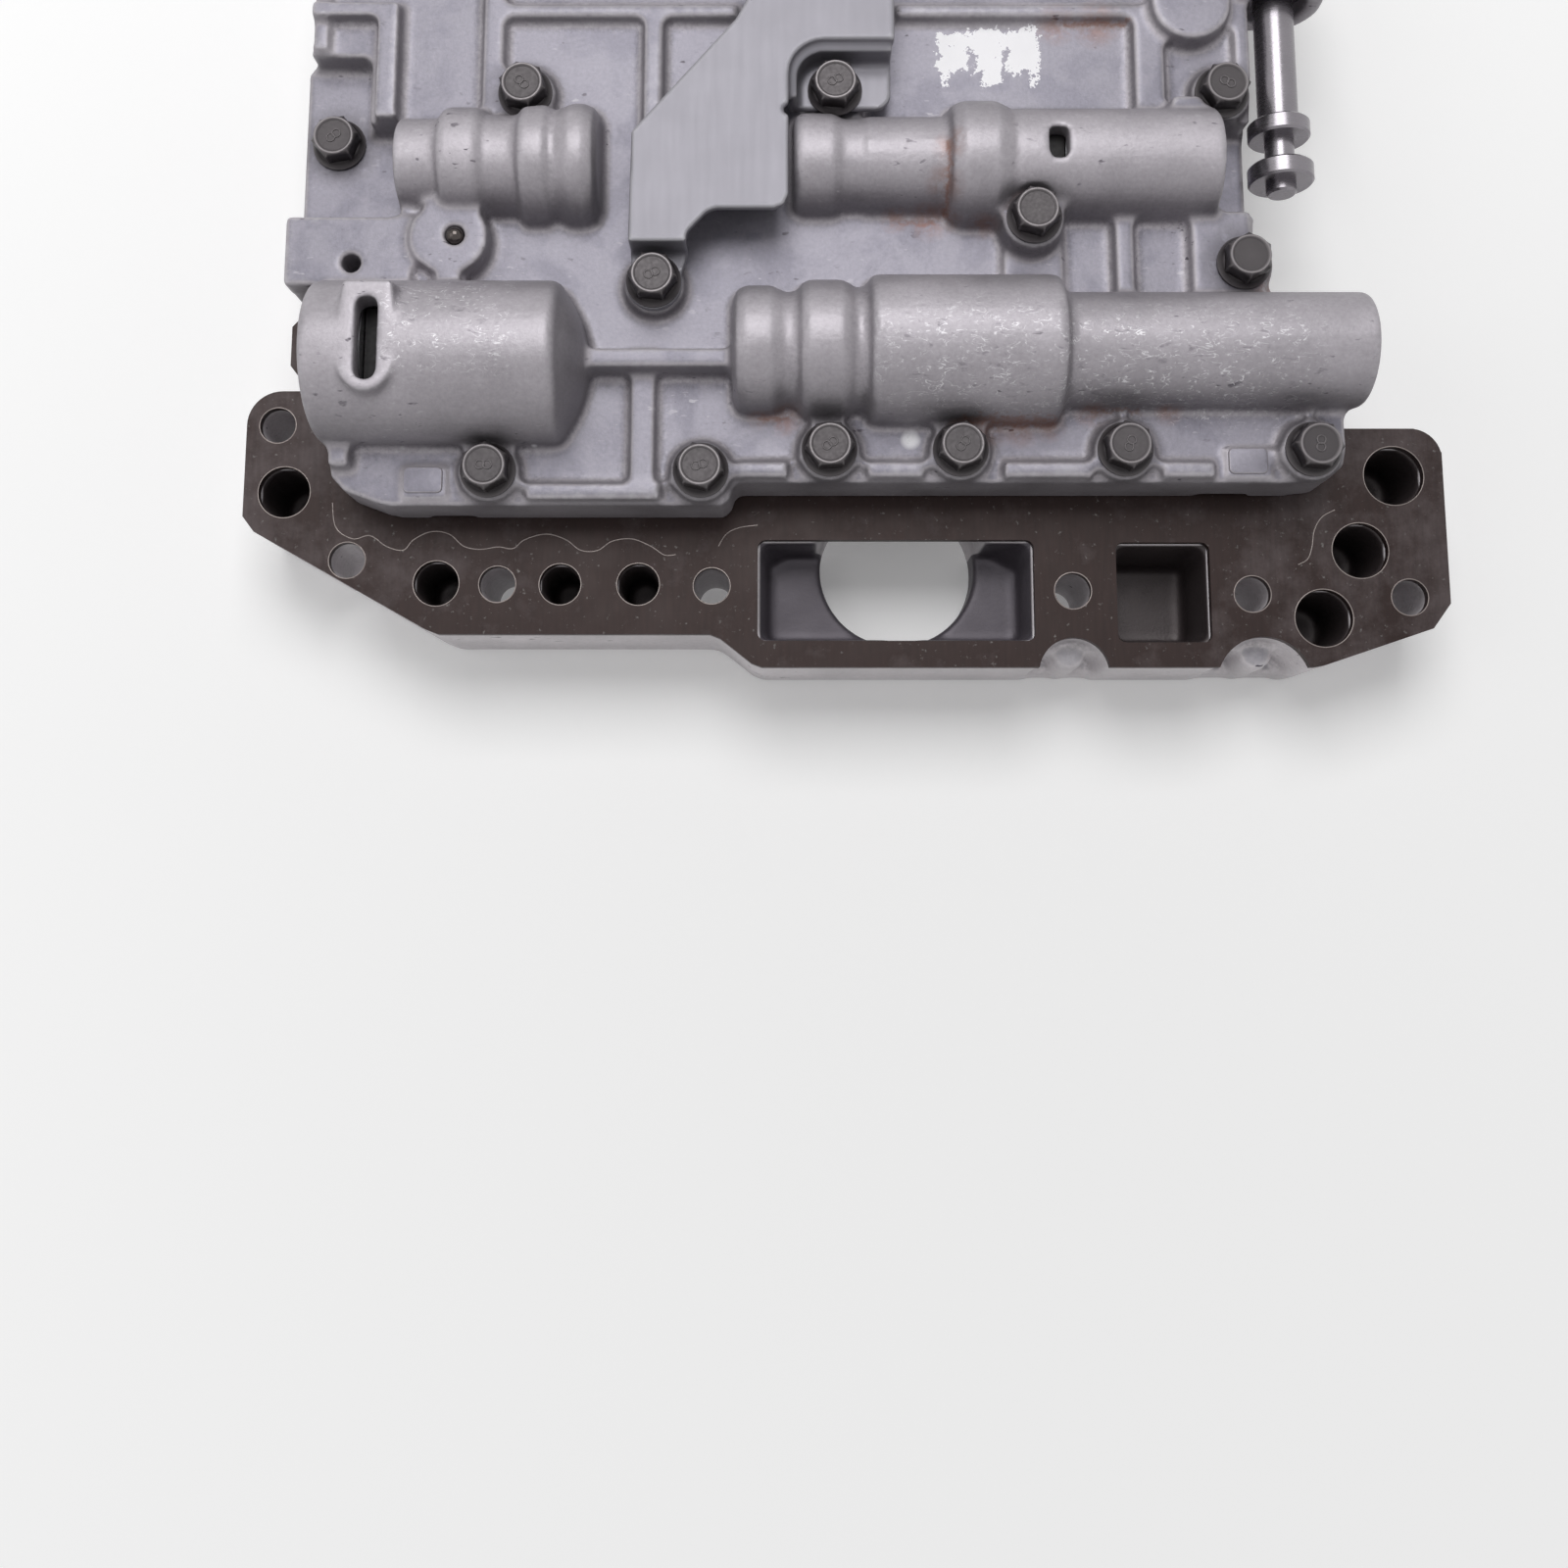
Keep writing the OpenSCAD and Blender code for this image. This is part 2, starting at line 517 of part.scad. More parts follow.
module manual_valve() {
    land = manual_bore / 2 - run_clear;
    disc = manual_disc / 2;
    rod = manual_rod / 2;
    color([0.7, 0.68, 0.64]) centred() translate([manual_axis[0], 0, manual_axis[1]]) rotate([-90, 0, 0])
        rotate_extrude() polygon([for (p = [[0, 114.4], [3.1, 114.4], [3.6, 114.9], [3.6, 117],
            [disc - 0.5, 117], [disc, 117.5], [disc, 121], [disc - 0.5, 121.5], [3.5, 121.5], [3.5, 128.4],
            [disc - 0.9, 128.4], [disc - 0.4, 128.9], [disc - 0.4, 132.1], [disc - 0.9, 132.6], [rod, 132.6],
            [rod, 167], [land, 167], [land, 175], [rod - 0.6, 175], [rod - 0.6, 180], [land, 180], [land, 184], [0, 184]])
                [p[0], p[1] * ky]]);
}

module ball_plug() {
    color([0.3, 0.29, 0.28]) centred() translate([plug_ball[0] * kx, plug_ball[1] * ky, plug_ball_z])
        sphere(r = plug_ball_r);
}

module check_balls() {
    color([0.7, 0.7, 0.72]) centred() for (p = ball_at)
        translate([p[0] * kx, p[1] * ky, lower_h - check_r - 0.4]) sphere(r = check_r);
}

module dowels() {
    color([0.6, 0.6, 0.62]) centred() for (p = dowel_at) post(p, dowel_r, lower_h - 8, z_seat + 4.6);
}

module relay_spool() {
    r = relay_bore / 2 - run_clear;
    stop = -97 + relay_travel;
    color([0.72, 0.71, 0.68]) centred()
        turn_x(relay_axis, [[0, stop], [3.4, stop], [3.4, -83], [r, -83], [r, -77],
            [r - 2.4, -77], [r - 2.4, -70], [r, -70], [r, -64], [3, -64], [3, -62], [0, -62]]);
}

module relay_spring() {
    color([0.55, 0.55, 0.56]) centred() coil_x(relay_axis, -97.5, -83, 5.2, 0.7, 6);
}

module relay_plug() {
    r = relay_bore / 2 - fit_gap;
    color([0.66, 0.66, 0.68]) centred()
        turn_x(relay_axis, [[0, relay_ring_x + 3], [4, relay_ring_x + 3],
            [4, relay_ring_x], [r, relay_ring_x], [r, -97.5], [0, -97.5]]);
}

module relay_ring() {
    color([0.35, 0.35, 0.36]) centred()
        snap_ring(relay_axis, relay_ring_x - 1.15, relay_ring_x, relay_bore / 2 - 1.4, relay_bore / 2 + 0.9);
}

module shift_spool() {
    r = shift_bore / 2 - run_clear;
    stop = 43.5 - shift_travel;
    color([0.72, 0.71, 0.68]) centred() turn_x(shift_axis, [[0, -7.1], [3, -7.1], [3, -5], [r, -5], [r, 2],
        [r - 3, 2], [r - 3, 9], [r, 9], [r, 20.5], [4, 20.5], [4, stop], [0, stop]]);
}

module shift_spring() {
    color([0.55, 0.55, 0.56]) centred() coil_x(shift_axis, 20.5, 44, 6.2, 0.8, 8);
}

module shift_plug() {
    r = shift_bore / 2 - fit_gap;
    color([0.66, 0.66, 0.68]) centred() difference() {
        turn_x(shift_axis, [[0, 44], [r, 44], [r, shift_mouth - 2.3], [5, shift_mouth - 2.3],
            [5, 60], [0, 60]]);
        slot(shift_slot, shift_axis[1] - 4);
    }
}

// a flat key that fills a slot's plan but for a small gap
module key_bar(c, z0, z1) {
    gap = 0.2;
    block(c[0][0] + gap, c[0][1] + gap, c[1][0] - gap, c[1][1] - gap, z0, z1);
}

module shift_key() {
    color([0.4, 0.4, 0.42]) centred() key_bar(shift_slot, shift_axis[1] - 4, shift_axis[1] + 8);
}

module acc_piston() {
    r = acc_bore / 2 - run_clear;
    stop = -102.5 + acc_travel;
    color([0.7, 0.7, 0.72]) centred()
        turn_x(acc_axis, [[r - 3.4, -86], [r, -86], [r, -83.5], [r - 1.6, -83.5],
            [r - 1.6, -81.3], [r, -81.3], [r, -77], [r - 1.6, -77], [r - 1.6, -74.8], [r, -74.8], [r, -72.5],
            [6, -72.5], [6, -70.4], [0, -70.4], [0, stop], [5, stop], [5, -76], [r - 3.4, -76]]);
}

// a seal ring in one of the piston's two grooves
module acc_seal(x0) {
    r = acc_bore / 2 - run_clear;
    difference() {
        rod_x(acc_axis, x0, x0 + 2, r);
        rod_x(acc_axis, x0 - 1, x0 + 3, r - 1.5);
    }
}

module acc_seal_front() {
    color([0.12, 0.12, 0.12]) centred() acc_seal(-83.5);
}

module acc_seal_rear() {
    color([0.12, 0.12, 0.12]) centred() acc_seal(-77);
}

module acc_spring() {
    color([0.55, 0.55, 0.56]) centred() coil_x(acc_axis, -103, -76, 8.6, 1.3, 7);
}

module acc_cover() {
    r = acc_bore / 2 - fit_gap;
    color([0.66, 0.66, 0.68]) centred() difference() {
        turn_x(acc_axis, [[0, -103], [r, -103], [r, acc_mouth + 2], [r - 3, acc_mouth + 2], [r - 3, -116.5],
            [0, -116.5]]);
        slot(acc_slot, acc_axis[1] - 4);
    }
}

module acc_key() {
    color([0.4, 0.4, 0.42]) centred() key_bar(acc_slot, acc_axis[1] - 4, acc_axis[1] + 11);
}

module reg_spool() {
    r = reg_spool_bore / 2 - run_clear;
    stop = 61.5 - reg_travel;
    color([0.72, 0.71, 0.68]) centred()
        turn_x(reg_axis, [[0, -21.6], [3, -21.6], [3, -19], [r, -19], [r, -11],
            [r - 2.8, -11], [r - 2.8, -3], [r, -3], [r, 5], [r - 2.8, 5], [r - 2.8, 12], [r, 12], [r, 22.5],
            [r + 1.6, 22.5], [r + 1.6, 25], [5.9, 25], [5.9, stop], [0, stop]]);
}

module reg_spring() {
    color([0.55, 0.55, 0.56]) centred() coil_x(reg_axis, 25, 62, 7.4, 1.1, 9);
}

module reg_sleeve() {
    r = reg_bore / 2 - fit_gap;
    color([0.68, 0.67, 0.64]) centred()
        turn_x(reg_axis, [[5, 62], [r, 62], [r, 76], [r - 1.6, 76], [r - 1.6, 86],
            [r, 86], [r, 102], [5, 102]]);
}

module reg_plug() {
    r = reg_bore / 2 - fit_gap;
    color([0.66, 0.66, 0.68]) centred()
        turn_x(reg_axis, [[0, 102], [r, 102], [r, reg_ring_x], [5, reg_ring_x], [5, 110],
            [0, 110]]);
}

module reg_ring() {
    color([0.35, 0.35, 0.36]) centred()
        snap_ring(reg_axis, reg_ring_x, reg_ring_x + 1.15, reg_bore / 2 - 1.6, reg_bore / 2 + 0.9);
}

lower_body();
separator_plate();
upper_body();
bracket();
body_bolts();
bracket_bolts();
manual_valve();
ball_plug();
check_balls();
dowels();
relay_spool();
relay_spring();
relay_plug();
relay_ring();
shift_spool();
shift_spring();
shift_plug();
shift_key();
acc_piston();
acc_seal_front();
acc_seal_rear();
acc_spring();
acc_cover();
acc_key();
reg_spool();
reg_spring();
reg_sleeve();
reg_plug();
reg_ring();
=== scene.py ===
"""Dresses a transmission valve body: soft cast skins, oiled plate, sheet bracket, bolts and springs."""
import logging
import math
from dataclasses import dataclass, field
from enum import Enum
from typing import Any, Callable, Optional

import bpy
import numpy as np
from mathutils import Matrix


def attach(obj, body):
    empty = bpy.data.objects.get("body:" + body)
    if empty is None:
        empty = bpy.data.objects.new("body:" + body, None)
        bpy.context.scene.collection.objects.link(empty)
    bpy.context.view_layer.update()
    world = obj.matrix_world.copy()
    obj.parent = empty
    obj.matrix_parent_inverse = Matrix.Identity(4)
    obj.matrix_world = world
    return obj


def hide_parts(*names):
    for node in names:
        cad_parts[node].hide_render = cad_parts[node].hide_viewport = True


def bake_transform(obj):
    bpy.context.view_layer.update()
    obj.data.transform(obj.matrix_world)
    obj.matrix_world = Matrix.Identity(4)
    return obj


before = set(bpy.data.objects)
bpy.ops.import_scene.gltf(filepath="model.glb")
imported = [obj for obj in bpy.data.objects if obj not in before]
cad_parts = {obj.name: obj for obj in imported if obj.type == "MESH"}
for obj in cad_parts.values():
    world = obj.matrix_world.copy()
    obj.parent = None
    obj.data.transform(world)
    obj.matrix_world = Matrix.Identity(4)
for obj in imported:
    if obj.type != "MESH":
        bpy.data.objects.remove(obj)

import openvdb
from mathutils import Vector
from mathutils.kdtree import KDTree

log = logging.getLogger("valve_body")

MM = 0.001
# half of the castings' depth: plan positions below run from the front edge
HALF_DEPTH = 102.5
# heights in mm: the plate's upper face, the deck, the bolts' seats, the low shelf's and the tall boss's seat
Z_SEAT, Z_DECK, Z_RIM, Z_SHELF, Z_HIGH = 29.0, 43.0, 46.0, 36.0, 51.0
# heights in mm at which the flats end and the housings' crests begin
Z_FLATS, Z_CRESTS = 51.0, 55.0
# how near the deck's height paint has to lie, in mm
PAINT_REACH = 0.8

Tree, Node, Socket = bpy.types.NodeTree, bpy.types.Node, bpy.types.NodeSocket
Mesh, Object, Material = bpy.types.Mesh, bpy.types.Object, bpy.types.Material
Colour = tuple[float, float, float, float]
# what a socket takes: a value, a node or an output socket
Input = Any
# layers of a finish: how each is blended, where, and with what
Layers = list[tuple[str, Input, Input]]
# the sockets of a ramp and of a noise, in the order in which rows of values fill them
RAMP = ("Value", "From Min", "From Max", "To Min", "To Max")
NOISE = ("Vector", "Scale", "Detail", "Roughness", "Distortion")
# boxes in plan as x0, y0, x1, y1, and balls as x, y, z, radius, in mm from the front edge
Boxes = tuple[tuple[float, float, float, float], ...]
Balls = tuple[tuple[float, float, float, float], ...]


def linear(code: str) -> Colour:
    """Turns an sRGB hex colour into linear light.

    Args:
        code: six hex digits, with or without a leading hash.

    Returns:
        Red, green, blue and an alpha of 1.
    """
    raw = [int(code.lstrip("#")[i : i + 2], 16) / 255 for i in (0, 2, 4)]
    lin = [c / 12.92 if c <= 0.04045 else ((c + 0.055) / 1.055) ** 2.4 for c in raw]
    return lin[0], lin[1], lin[2], 1.0


def per_mm(size: float) -> float:
    """Gives the texture scale whose features are about this many millimetres wide."""
    return 1.0 / (size * MM)


def spot(x: float, y: float, z: float) -> Vector:
    """Turns a plan position in mm from the front edge into the shared frame, in metres."""
    return Vector((x, y - HALF_DEPTH, z)) * MM


def fill(tree: Tree, node: Node, links: dict) -> None:
    """Fills a node's sockets.

    Args:
        tree: tree that holds the node.
        node: the node.
        links: socket name or number to a value, a node or an output socket.
    """
    for name, value in links.items():
        socket = node.inputs[name]
        if isinstance(value, Node):
            tree.links.new(value.outputs[0], socket)
        elif isinstance(value, Socket):
            tree.links.new(value, socket)
        else:
            socket.default_value = value


def add(tree: Tree, kind: str, links: Optional[dict] = None, **settings: Any) -> Node:
    """Adds one node, sets its properties and fills its sockets.

    Args:
        tree: tree that takes the node.
        kind: the node's type name.
        links: socket name or number to a value, a node or an output socket.
        settings: the node's own properties.

    Returns:
        The new node.
    """
    node = tree.nodes.new(kind)
    for name, value in settings.items():
        setattr(node, name, value)
    fill(tree, node, links or {})
    return node


def near_balls(tree: Tree, co: Socket, cloud: Node, balls: Balls, most: float) -> Node:
    """Masks the places near some points.

    Args:
        tree: the material's tree.
        co: object coordinates.
        cloud: noise that breaks up each patch.
        balls: centres and radii.
        most: the mask's greatest value.

    Returns:
        The mask's node.
    """
    total: Input = 0.0
    for x, y, z, r in balls:
        gap = add(tree, "ShaderNodeVectorMath", {0: co, 1: spot(x, y, z)}, operation="DISTANCE").outputs["Value"]
        fade = add(tree, "ShaderNodeMapRange", dict(zip(RAMP, (gap, r * MM, 0.25 * r * MM))))
        total = add(tree, "ShaderNodeMath", {0: total, 1: fade}, operation="MAXIMUM")
    low = 0.6 - 0.35 * most
    patch = add(tree, "ShaderNodeMapRange", dict(zip(RAMP, (cloud, low - 0.12, low + 0.14, 0.0, most))))
    return add(tree, "ShaderNodeMath", {0: total, 1: patch}, operation="MULTIPLY")


def in_boxes(tree: Tree, co: Input, boxes: Boxes, soft: float) -> Node:
    """Masks boxes seen in plan.

    Args:
        tree: the material's tree.
        co: coordinates.
        boxes: the boxes.
        soft: width of each box's edge in mm.

    Returns:
        The mask's node.
    """
    axis = add(tree, "ShaderNodeSeparateXYZ", {0: co})
    total: Input = 0.0
    for x0, y0, x1, y1 in boxes:
        low, high = spot(x0, y0, 0), spot(x1, y1, 0)
        inside: Input = 1.0
        for name, a, b in (("X", low.x, high.x), ("Y", low.y, high.y)):
            half = (b - a) / 2
            off = add(tree, "ShaderNodeMath", {0: axis.outputs[name], 1: (a + b) / 2}, operation="SUBTRACT")
            far = add(tree, "ShaderNodeMath", {0: off}, operation="ABSOLUTE")
            part = add(tree, "ShaderNodeMapRange", dict(zip(RAMP, (far, half, half - soft * MM))))
            inside = add(tree, "ShaderNodeMath", {0: inside, 1: part}, operation="MULTIPLY")
        total = add(tree, "ShaderNodeMath", {0: total, 1: inside}, operation="MAXIMUM")
    return total


def ragged(tree: Tree, co: Input, wide: Node, fine: Node, much: float) -> Node:
    """Pushes coordinates about, so that a box drawn with them gets a ragged outline.

    Args:
        tree: the material's tree.
        co: object coordinates.
        wide: noise that makes the outline waver.
        fine: noise that makes it ragged.
        much: how far, as a share of a brush stroke's own raggedness.

    Returns:
        The node that gives the pushed coordinates.
    """
    for cloud, reach in ((wide, 6.0 * much), (fine, 3.0 * much)):
        push = {0: cloud.outputs["Color"], 1: (0.5, 0.5, 0.5)}
        push = add(tree, "ShaderNodeVectorMath", push, operation="SUBTRACT")
        co = add(tree, "ShaderNodeVectorMath", {0: push, 1: (reach * MM,) * 3, 2: co}, operation="MULTIPLY_ADD")
    return co


class Slot(Enum):
    """The record's material slots."""

    CAST = "cast_aluminium"
    PLATE = "plate_steel"
    BRACKET = "bracket_steel"
    BOLT = "bolt_steel"
    SPRING = "spring_steel"


def blank(name: str) -> tuple[Material, Tree, Node]:
    """Starts an empty material.

    Args:
        name: name of the material.

    Returns:
        The material, its tree and its surface shader.
    """
    material = bpy.data.materials.new(name)
    material.use_nodes = True
    tree = material.node_tree
    tree.nodes.clear()
    shader = tree.nodes.new("ShaderNodeBsdfPrincipled")
    add(tree, "ShaderNodeOutputMaterial", {"Surface": shader})
    return material, tree, shader


def coat(tree: Tree, shader: Node, base: Colour, layers: Layers, links: dict) -> None:
    """Lays a finish's layers over its base colour, and fills its shader.

    Args:
        tree: the material's tree.
        shader: its surface shader.
        base: the colour under all layers.
        layers: the layers, from the lowest up.
        links: what the shader's other sockets take.
    """
    colour: Input = base
    for blend, where, over in layers:
        mix = {0: where, 6: colour, 7: over}
        colour = add(tree, "ShaderNodeMix", mix, data_type="RGBA", blend_type=blend).outputs[2]
    fill(tree, shader, {"Base Color": colour, **links})


@dataclass(frozen=True)
class CastSkin:
    """Die-cast aluminium: a grey satin skin, pitted and stained, bright where edges wear, grainy in corners, with
    painted shade on its sides, flats and corners and a painted highlight along its fillets.
    """

    name: str = "die_cast_aluminium"
    skin: str = "#a9a4aa"
    # painted shade: the darker tone of the flats
    flat: str = "#8b8892"
    # bright wear, and the painted highlight along the fillets
    worn: str = "#bdbabf"
    crackle: str = "#dedce0"
    # dark pits and pores, and the painted shade in corners and the window
    soot_and_shade: str = "#57525a"
    rust: str = "#80543f"
    # oily dirt, and the painted shade in the wells and round the bolt seats
    oil_and_shade: str = "#2e2a2c"
    stain: str = "#6b6975"
    paint: str = "#f7f6f9"
    metal: float = 0.38
    gloss: float = 0.45
    # painted shade: how light the upright sides are left, as a share of the tops
    side: float = 0.7
    # patches of rust, chips of paint, and where bolts have held dirt under a painted shadow
    rust_at: Balls = ()
    chip_at: Balls = ()
    bolt_shadow_and_grime_at: Balls = ()
    # strokes of paint, thin lines of rust, and skin that is crackled all over
    paint_at: Boxes = ()
    streak_at: Boxes = ()
    crackle_at: Boxes = ()
    # oil-black wells deepened by painted shade, and walls darkened by painted shade alone
    well_at: Boxes = ()
    shade_at: Boxes = ()

    def material(self) -> Material:
        """Builds the material.

        Returns:
            The material.
        """
        material, t, shader = blank(self.name)
        place = add(t, "ShaderNodeTexCoord")
        co = place.outputs["Object"]
        # pits, scuffs and crackle lie along the housings
        along = add(t, "ShaderNodeMapping", {"Vector": co, "Scale": (0.45, 1.0, 1.0)})
        clouds = {
            "broad": (co, per_mm(24), 6.0, 0.62),
            "grain": (co, per_mm(1.0), 3.0, 0.7),
            "coarse": (co, per_mm(2.6), 3.0, 0.65),
            "pool": (co, per_mm(15), 5.0, 0.6, 0.4),
            "fleck": (along, per_mm(1.7), 2.0, 0.55),
        }
        n = {name: add(t, "ShaderNodeTexNoise", dict(zip(NOISE, row))) for name, row in clouds.items()}
        edge, corner = (add(t, "ShaderNodeAttribute", attribute_name=a).outputs["Fac"] for a in ("edge", "corner"))
        up = add(t, "ShaderNodeSeparateXYZ", {0: place.outputs["Normal"]}).outputs["Z"]
        high = add(t, "ShaderNodeSeparateXYZ", {0: co}).outputs["Z"]
        ramps = {
            # painted shade: the flats, which lie low, take a darker tone than the rounds; the housings' crests are
            # left out
            "flat": (up, 0.9, 0.995),
            "low": (high, Z_CRESTS * MM, Z_FLATS * MM),
            # painted shade: the sides are darkened, as if they were lit less than the tops
            "film": (up, 0.4, 0.95, self.side, 1.0),
            # drifts of lighter and darker skin, tens of millimetres wide
            "drift": (n["broad"], 0.3, 0.7, 0.78, 1.12),
            # bluish oil has dried on the flats
            "dried": (n["pool"], 0.48, 0.62, 0.0, 0.5),
            # fine cast grain, which shows most in the corners
            "grain": (corner, 0.0, 1.0, 0.2, 1.1),
            # painted shade darkens the corners, and a painted highlight lies along them in broken lengths
            "corner_shade": (n["coarse"], 0.35, 0.65, 0.05, 0.42),
            "fillet_highlight": (n["coarse"], 0.53, 0.6, 0.0, 0.6),
            # bare bright metal along the worn edges, in broken lengths
            "bare": (n["coarse"], 0.42, 0.62, 0.1, 0.75),
            # pits and scuffs, in drifts
            "where": (n["broad"], 0.46, 0.6),
            "pit": (n["fleck"], 0.67, 0.73),
            "scuff": (n["fleck"], 0.32, 0.26, 0.0, 0.5),
            "rough": (n["broad"], 0.3, 0.7, self.gloss - 0.06, self.gloss + 0.12),
        }
        r = {name: add(t, "ShaderNodeMapRange", dict(zip(RAMP, row))) for name, row in ramps.items()}
        level = add(t, "ShaderNodeMath", {0: r["flat"], 1: r["low"]}, operation="MULTIPLY")
        centred = add(t, "ShaderNodeMath", {0: n["grain"], 1: 0.5}, operation="SUBTRACT")
        pairs = {
            "dried": (r["dried"], level),
            "grain": (centred, r["grain"]),
            "corner_shade": (corner, r["corner_shade"]),
            "fillet_highlight": (corner, r["fillet_highlight"]),
            "bare": (edge, r["bare"]),
            "pit": (r["pit"], r["where"]),
            "scuff": (r["scuff"], r["where"]),
        }
        m = {k: add(t, "ShaderNodeMath", dict(enumerate(row)), operation="MULTIPLY") for k, row in pairs.items()}
        speckle = add(t, "ShaderNodeMath", {0: m["grain"], 1: 2.2, 2: 1.0}, operation="MULTIPLY_ADD")
        soot_and_shade, worn = linear(self.soot_and_shade), linear(self.worn)
        layers: Layers = [
            # painted shade: the flats' darker tone
            ("MIX", level, linear(self.flat)),
            # painted shade on the upright sides
            ("MULTIPLY", 1.0, r["film"]),
            ("MULTIPLY", 1.0, r["drift"]),
            ("MIX", m["dried"], linear(self.stain)),
            ("MULTIPLY", 1.0, speckle),
            # painted shade in the corners
            ("MIX", m["corner_shade"], soot_and_shade),
            # painted highlight along the fillets
            ("MIX", m["fillet_highlight"], worn),
            ("MIX", m["bare"], worn),
            ("MIX", m["pit"], soot_and_shade),
            ("MIX", m["scuff"], worn),
        ]
        if self.crackle_at:
            layers += self._crackled(t, co, along, n["coarse"])
        layers += self._soiled_and_shaded(t, co, n["coarse"], n["grain"])
        metal: Input = self.metal
        if self.paint_at:
            film = self._painted(t, co, n["coarse"], n["grain"])
            layers.append(("MIX", film, linear(self.paint)))
            metal = add(t, "ShaderNodeMath", {0: film, 1: -self.metal, 2: self.metal}, operation="MULTIPLY_ADD")
        height = add(t, "ShaderNodeMath", {0: n["coarse"], 1: corner, 2: n["grain"]}, operation="MULTIPLY_ADD")
        height = add(t, "ShaderNodeMath", {0: m["pit"], 1: -0.9, 2: height}, operation="MULTIPLY_ADD")
        # the flats are calmer than the rounds
        relief = add(t, "ShaderNodeMapRange", dict(zip(RAMP, (level, 0.0, 1.0, 0.26, 0.18))))
        bump = add(t, "ShaderNodeBump", {"Strength": relief, "Distance": 0.28 * MM, "Height": height})
        coat(t, shader, linear(self.skin), layers, {"Roughness": r["rough"], "Normal": bump, "Metallic": metal})
        return material

    def _crackled(self, t: Tree, co: Socket, along: Node, coarse: Node) -> Layers:
        """Gives a crackle of fine bright lines with dark pores between them.

        Args:
            t: the material's tree.
            co: object coordinates.
            along: the same, drawn out along the housings.
            coarse: noise that breaks it up.

        Returns:
            The layers, from the lowest up.
        """
        vein = add(t, "ShaderNodeTexNoise", dict(zip(NOISE, (along, per_mm(1.5), 2.0, 0.5, 0.6))))
        line = add(t, "ShaderNodeMath", {0: vein, 1: 0.5, 2: 0.016}, operation="COMPARE")
        pore = add(t, "ShaderNodeMapRange", dict(zip(RAMP, (vein, 0.6, 0.68, 0.0, 0.55))))
        thick = add(t, "ShaderNodeMapRange", dict(zip(RAMP, (coarse, 0.46, 0.6, 0.0, 0.8))))
        area = {0: in_boxes(t, co, self.crackle_at, 9.0), 1: thick}
        area = add(t, "ShaderNodeMath", area, operation="MULTIPLY")
        layers: Layers = []
        for mask, tint in ((line, self.crackle), (pore, self.soot_and_shade)):
            mask = add(t, "ShaderNodeMath", {0: mask, 1: area}, operation="MULTIPLY")
            layers.append(("MIX", mask, linear(tint)))
        return layers

    def _soiled_and_shaded(self, t: Tree, co: Socket, coarse: Node, grain: Node) -> Layers:
        """Gives dirt, rust and oil, and painted shade and shadow, where they are asked for.

        Args:
            t: the material's tree.
            co: object coordinates.
            coarse: noise that breaks up the patches.
            grain: noise that makes the lines ragged.

        Returns:
            The layers, from the lowest up.
        """
        layers: Layers = []
        # painted shadow and oily dirt round the bolt seats, then rust
        for balls, tint, most in ((self.bolt_shadow_and_grime_at, self.oil_and_shade, 0.8), (self.rust_at, self.rust, 0.5)):
            if balls:
                layers.append(("MIX", near_balls(t, co, coarse, balls, most), linear(tint)))
        if self.streak_at:
            line = in_boxes(t, ragged(t, co, coarse, grain, 0.5), self.streak_at, 1.0)
            line = add(t, "ShaderNodeMath", {0: line, 1: 0.8}, operation="MULTIPLY")
            layers.append(("MIX", line, linear(self.rust)))
        # painted shade over the window's walls, and painted shade with oil in the wells
        for boxes, tint in ((self.shade_at, self.soot_and_shade), (self.well_at, self.oil_and_shade)):
            if boxes:
                layers.append(("MIX", in_boxes(t, co, boxes, 0.3), linear(tint)))
        return layers

    def _painted(self, t: Tree, co: Socket, wide: Node, fine: Node) -> Node:
        """Masks the brushed-on strokes with their drips, on the deck alone, and the chips.

        Args:
            t: the material's tree.
            co: object coordinates.
            wide: makes each stroke waver.
            fine: makes each stroke's edge ragged.

        Returns:
            The mask's node.
        """
        film = in_boxes(t, ragged(t, co, wide, fine, 1.0), self.paint_at, 0.3)
        bald = add(t, "ShaderNodeMapRange", dict(zip(RAMP, (wide, 0.31, 0.35))))
        high = add(t, "ShaderNodeSeparateXYZ", {0: co}).outputs["Z"]
        deck = add(t, "ShaderNodeMath", {0: high, 1: Z_DECK * MM, 2: PAINT_REACH * MM}, operation="COMPARE")
        for mask in (bald, deck):
            film = add(t, "ShaderNodeMath", {0: film, 1: mask}, operation="MULTIPLY")
        if self.chip_at:
            chips = near_balls(t, co, wide, self.chip_at, 1.0)
            film = add(t, "ShaderNodeMath", {0: film, 1: chips}, operation="MAXIMUM")
        return film


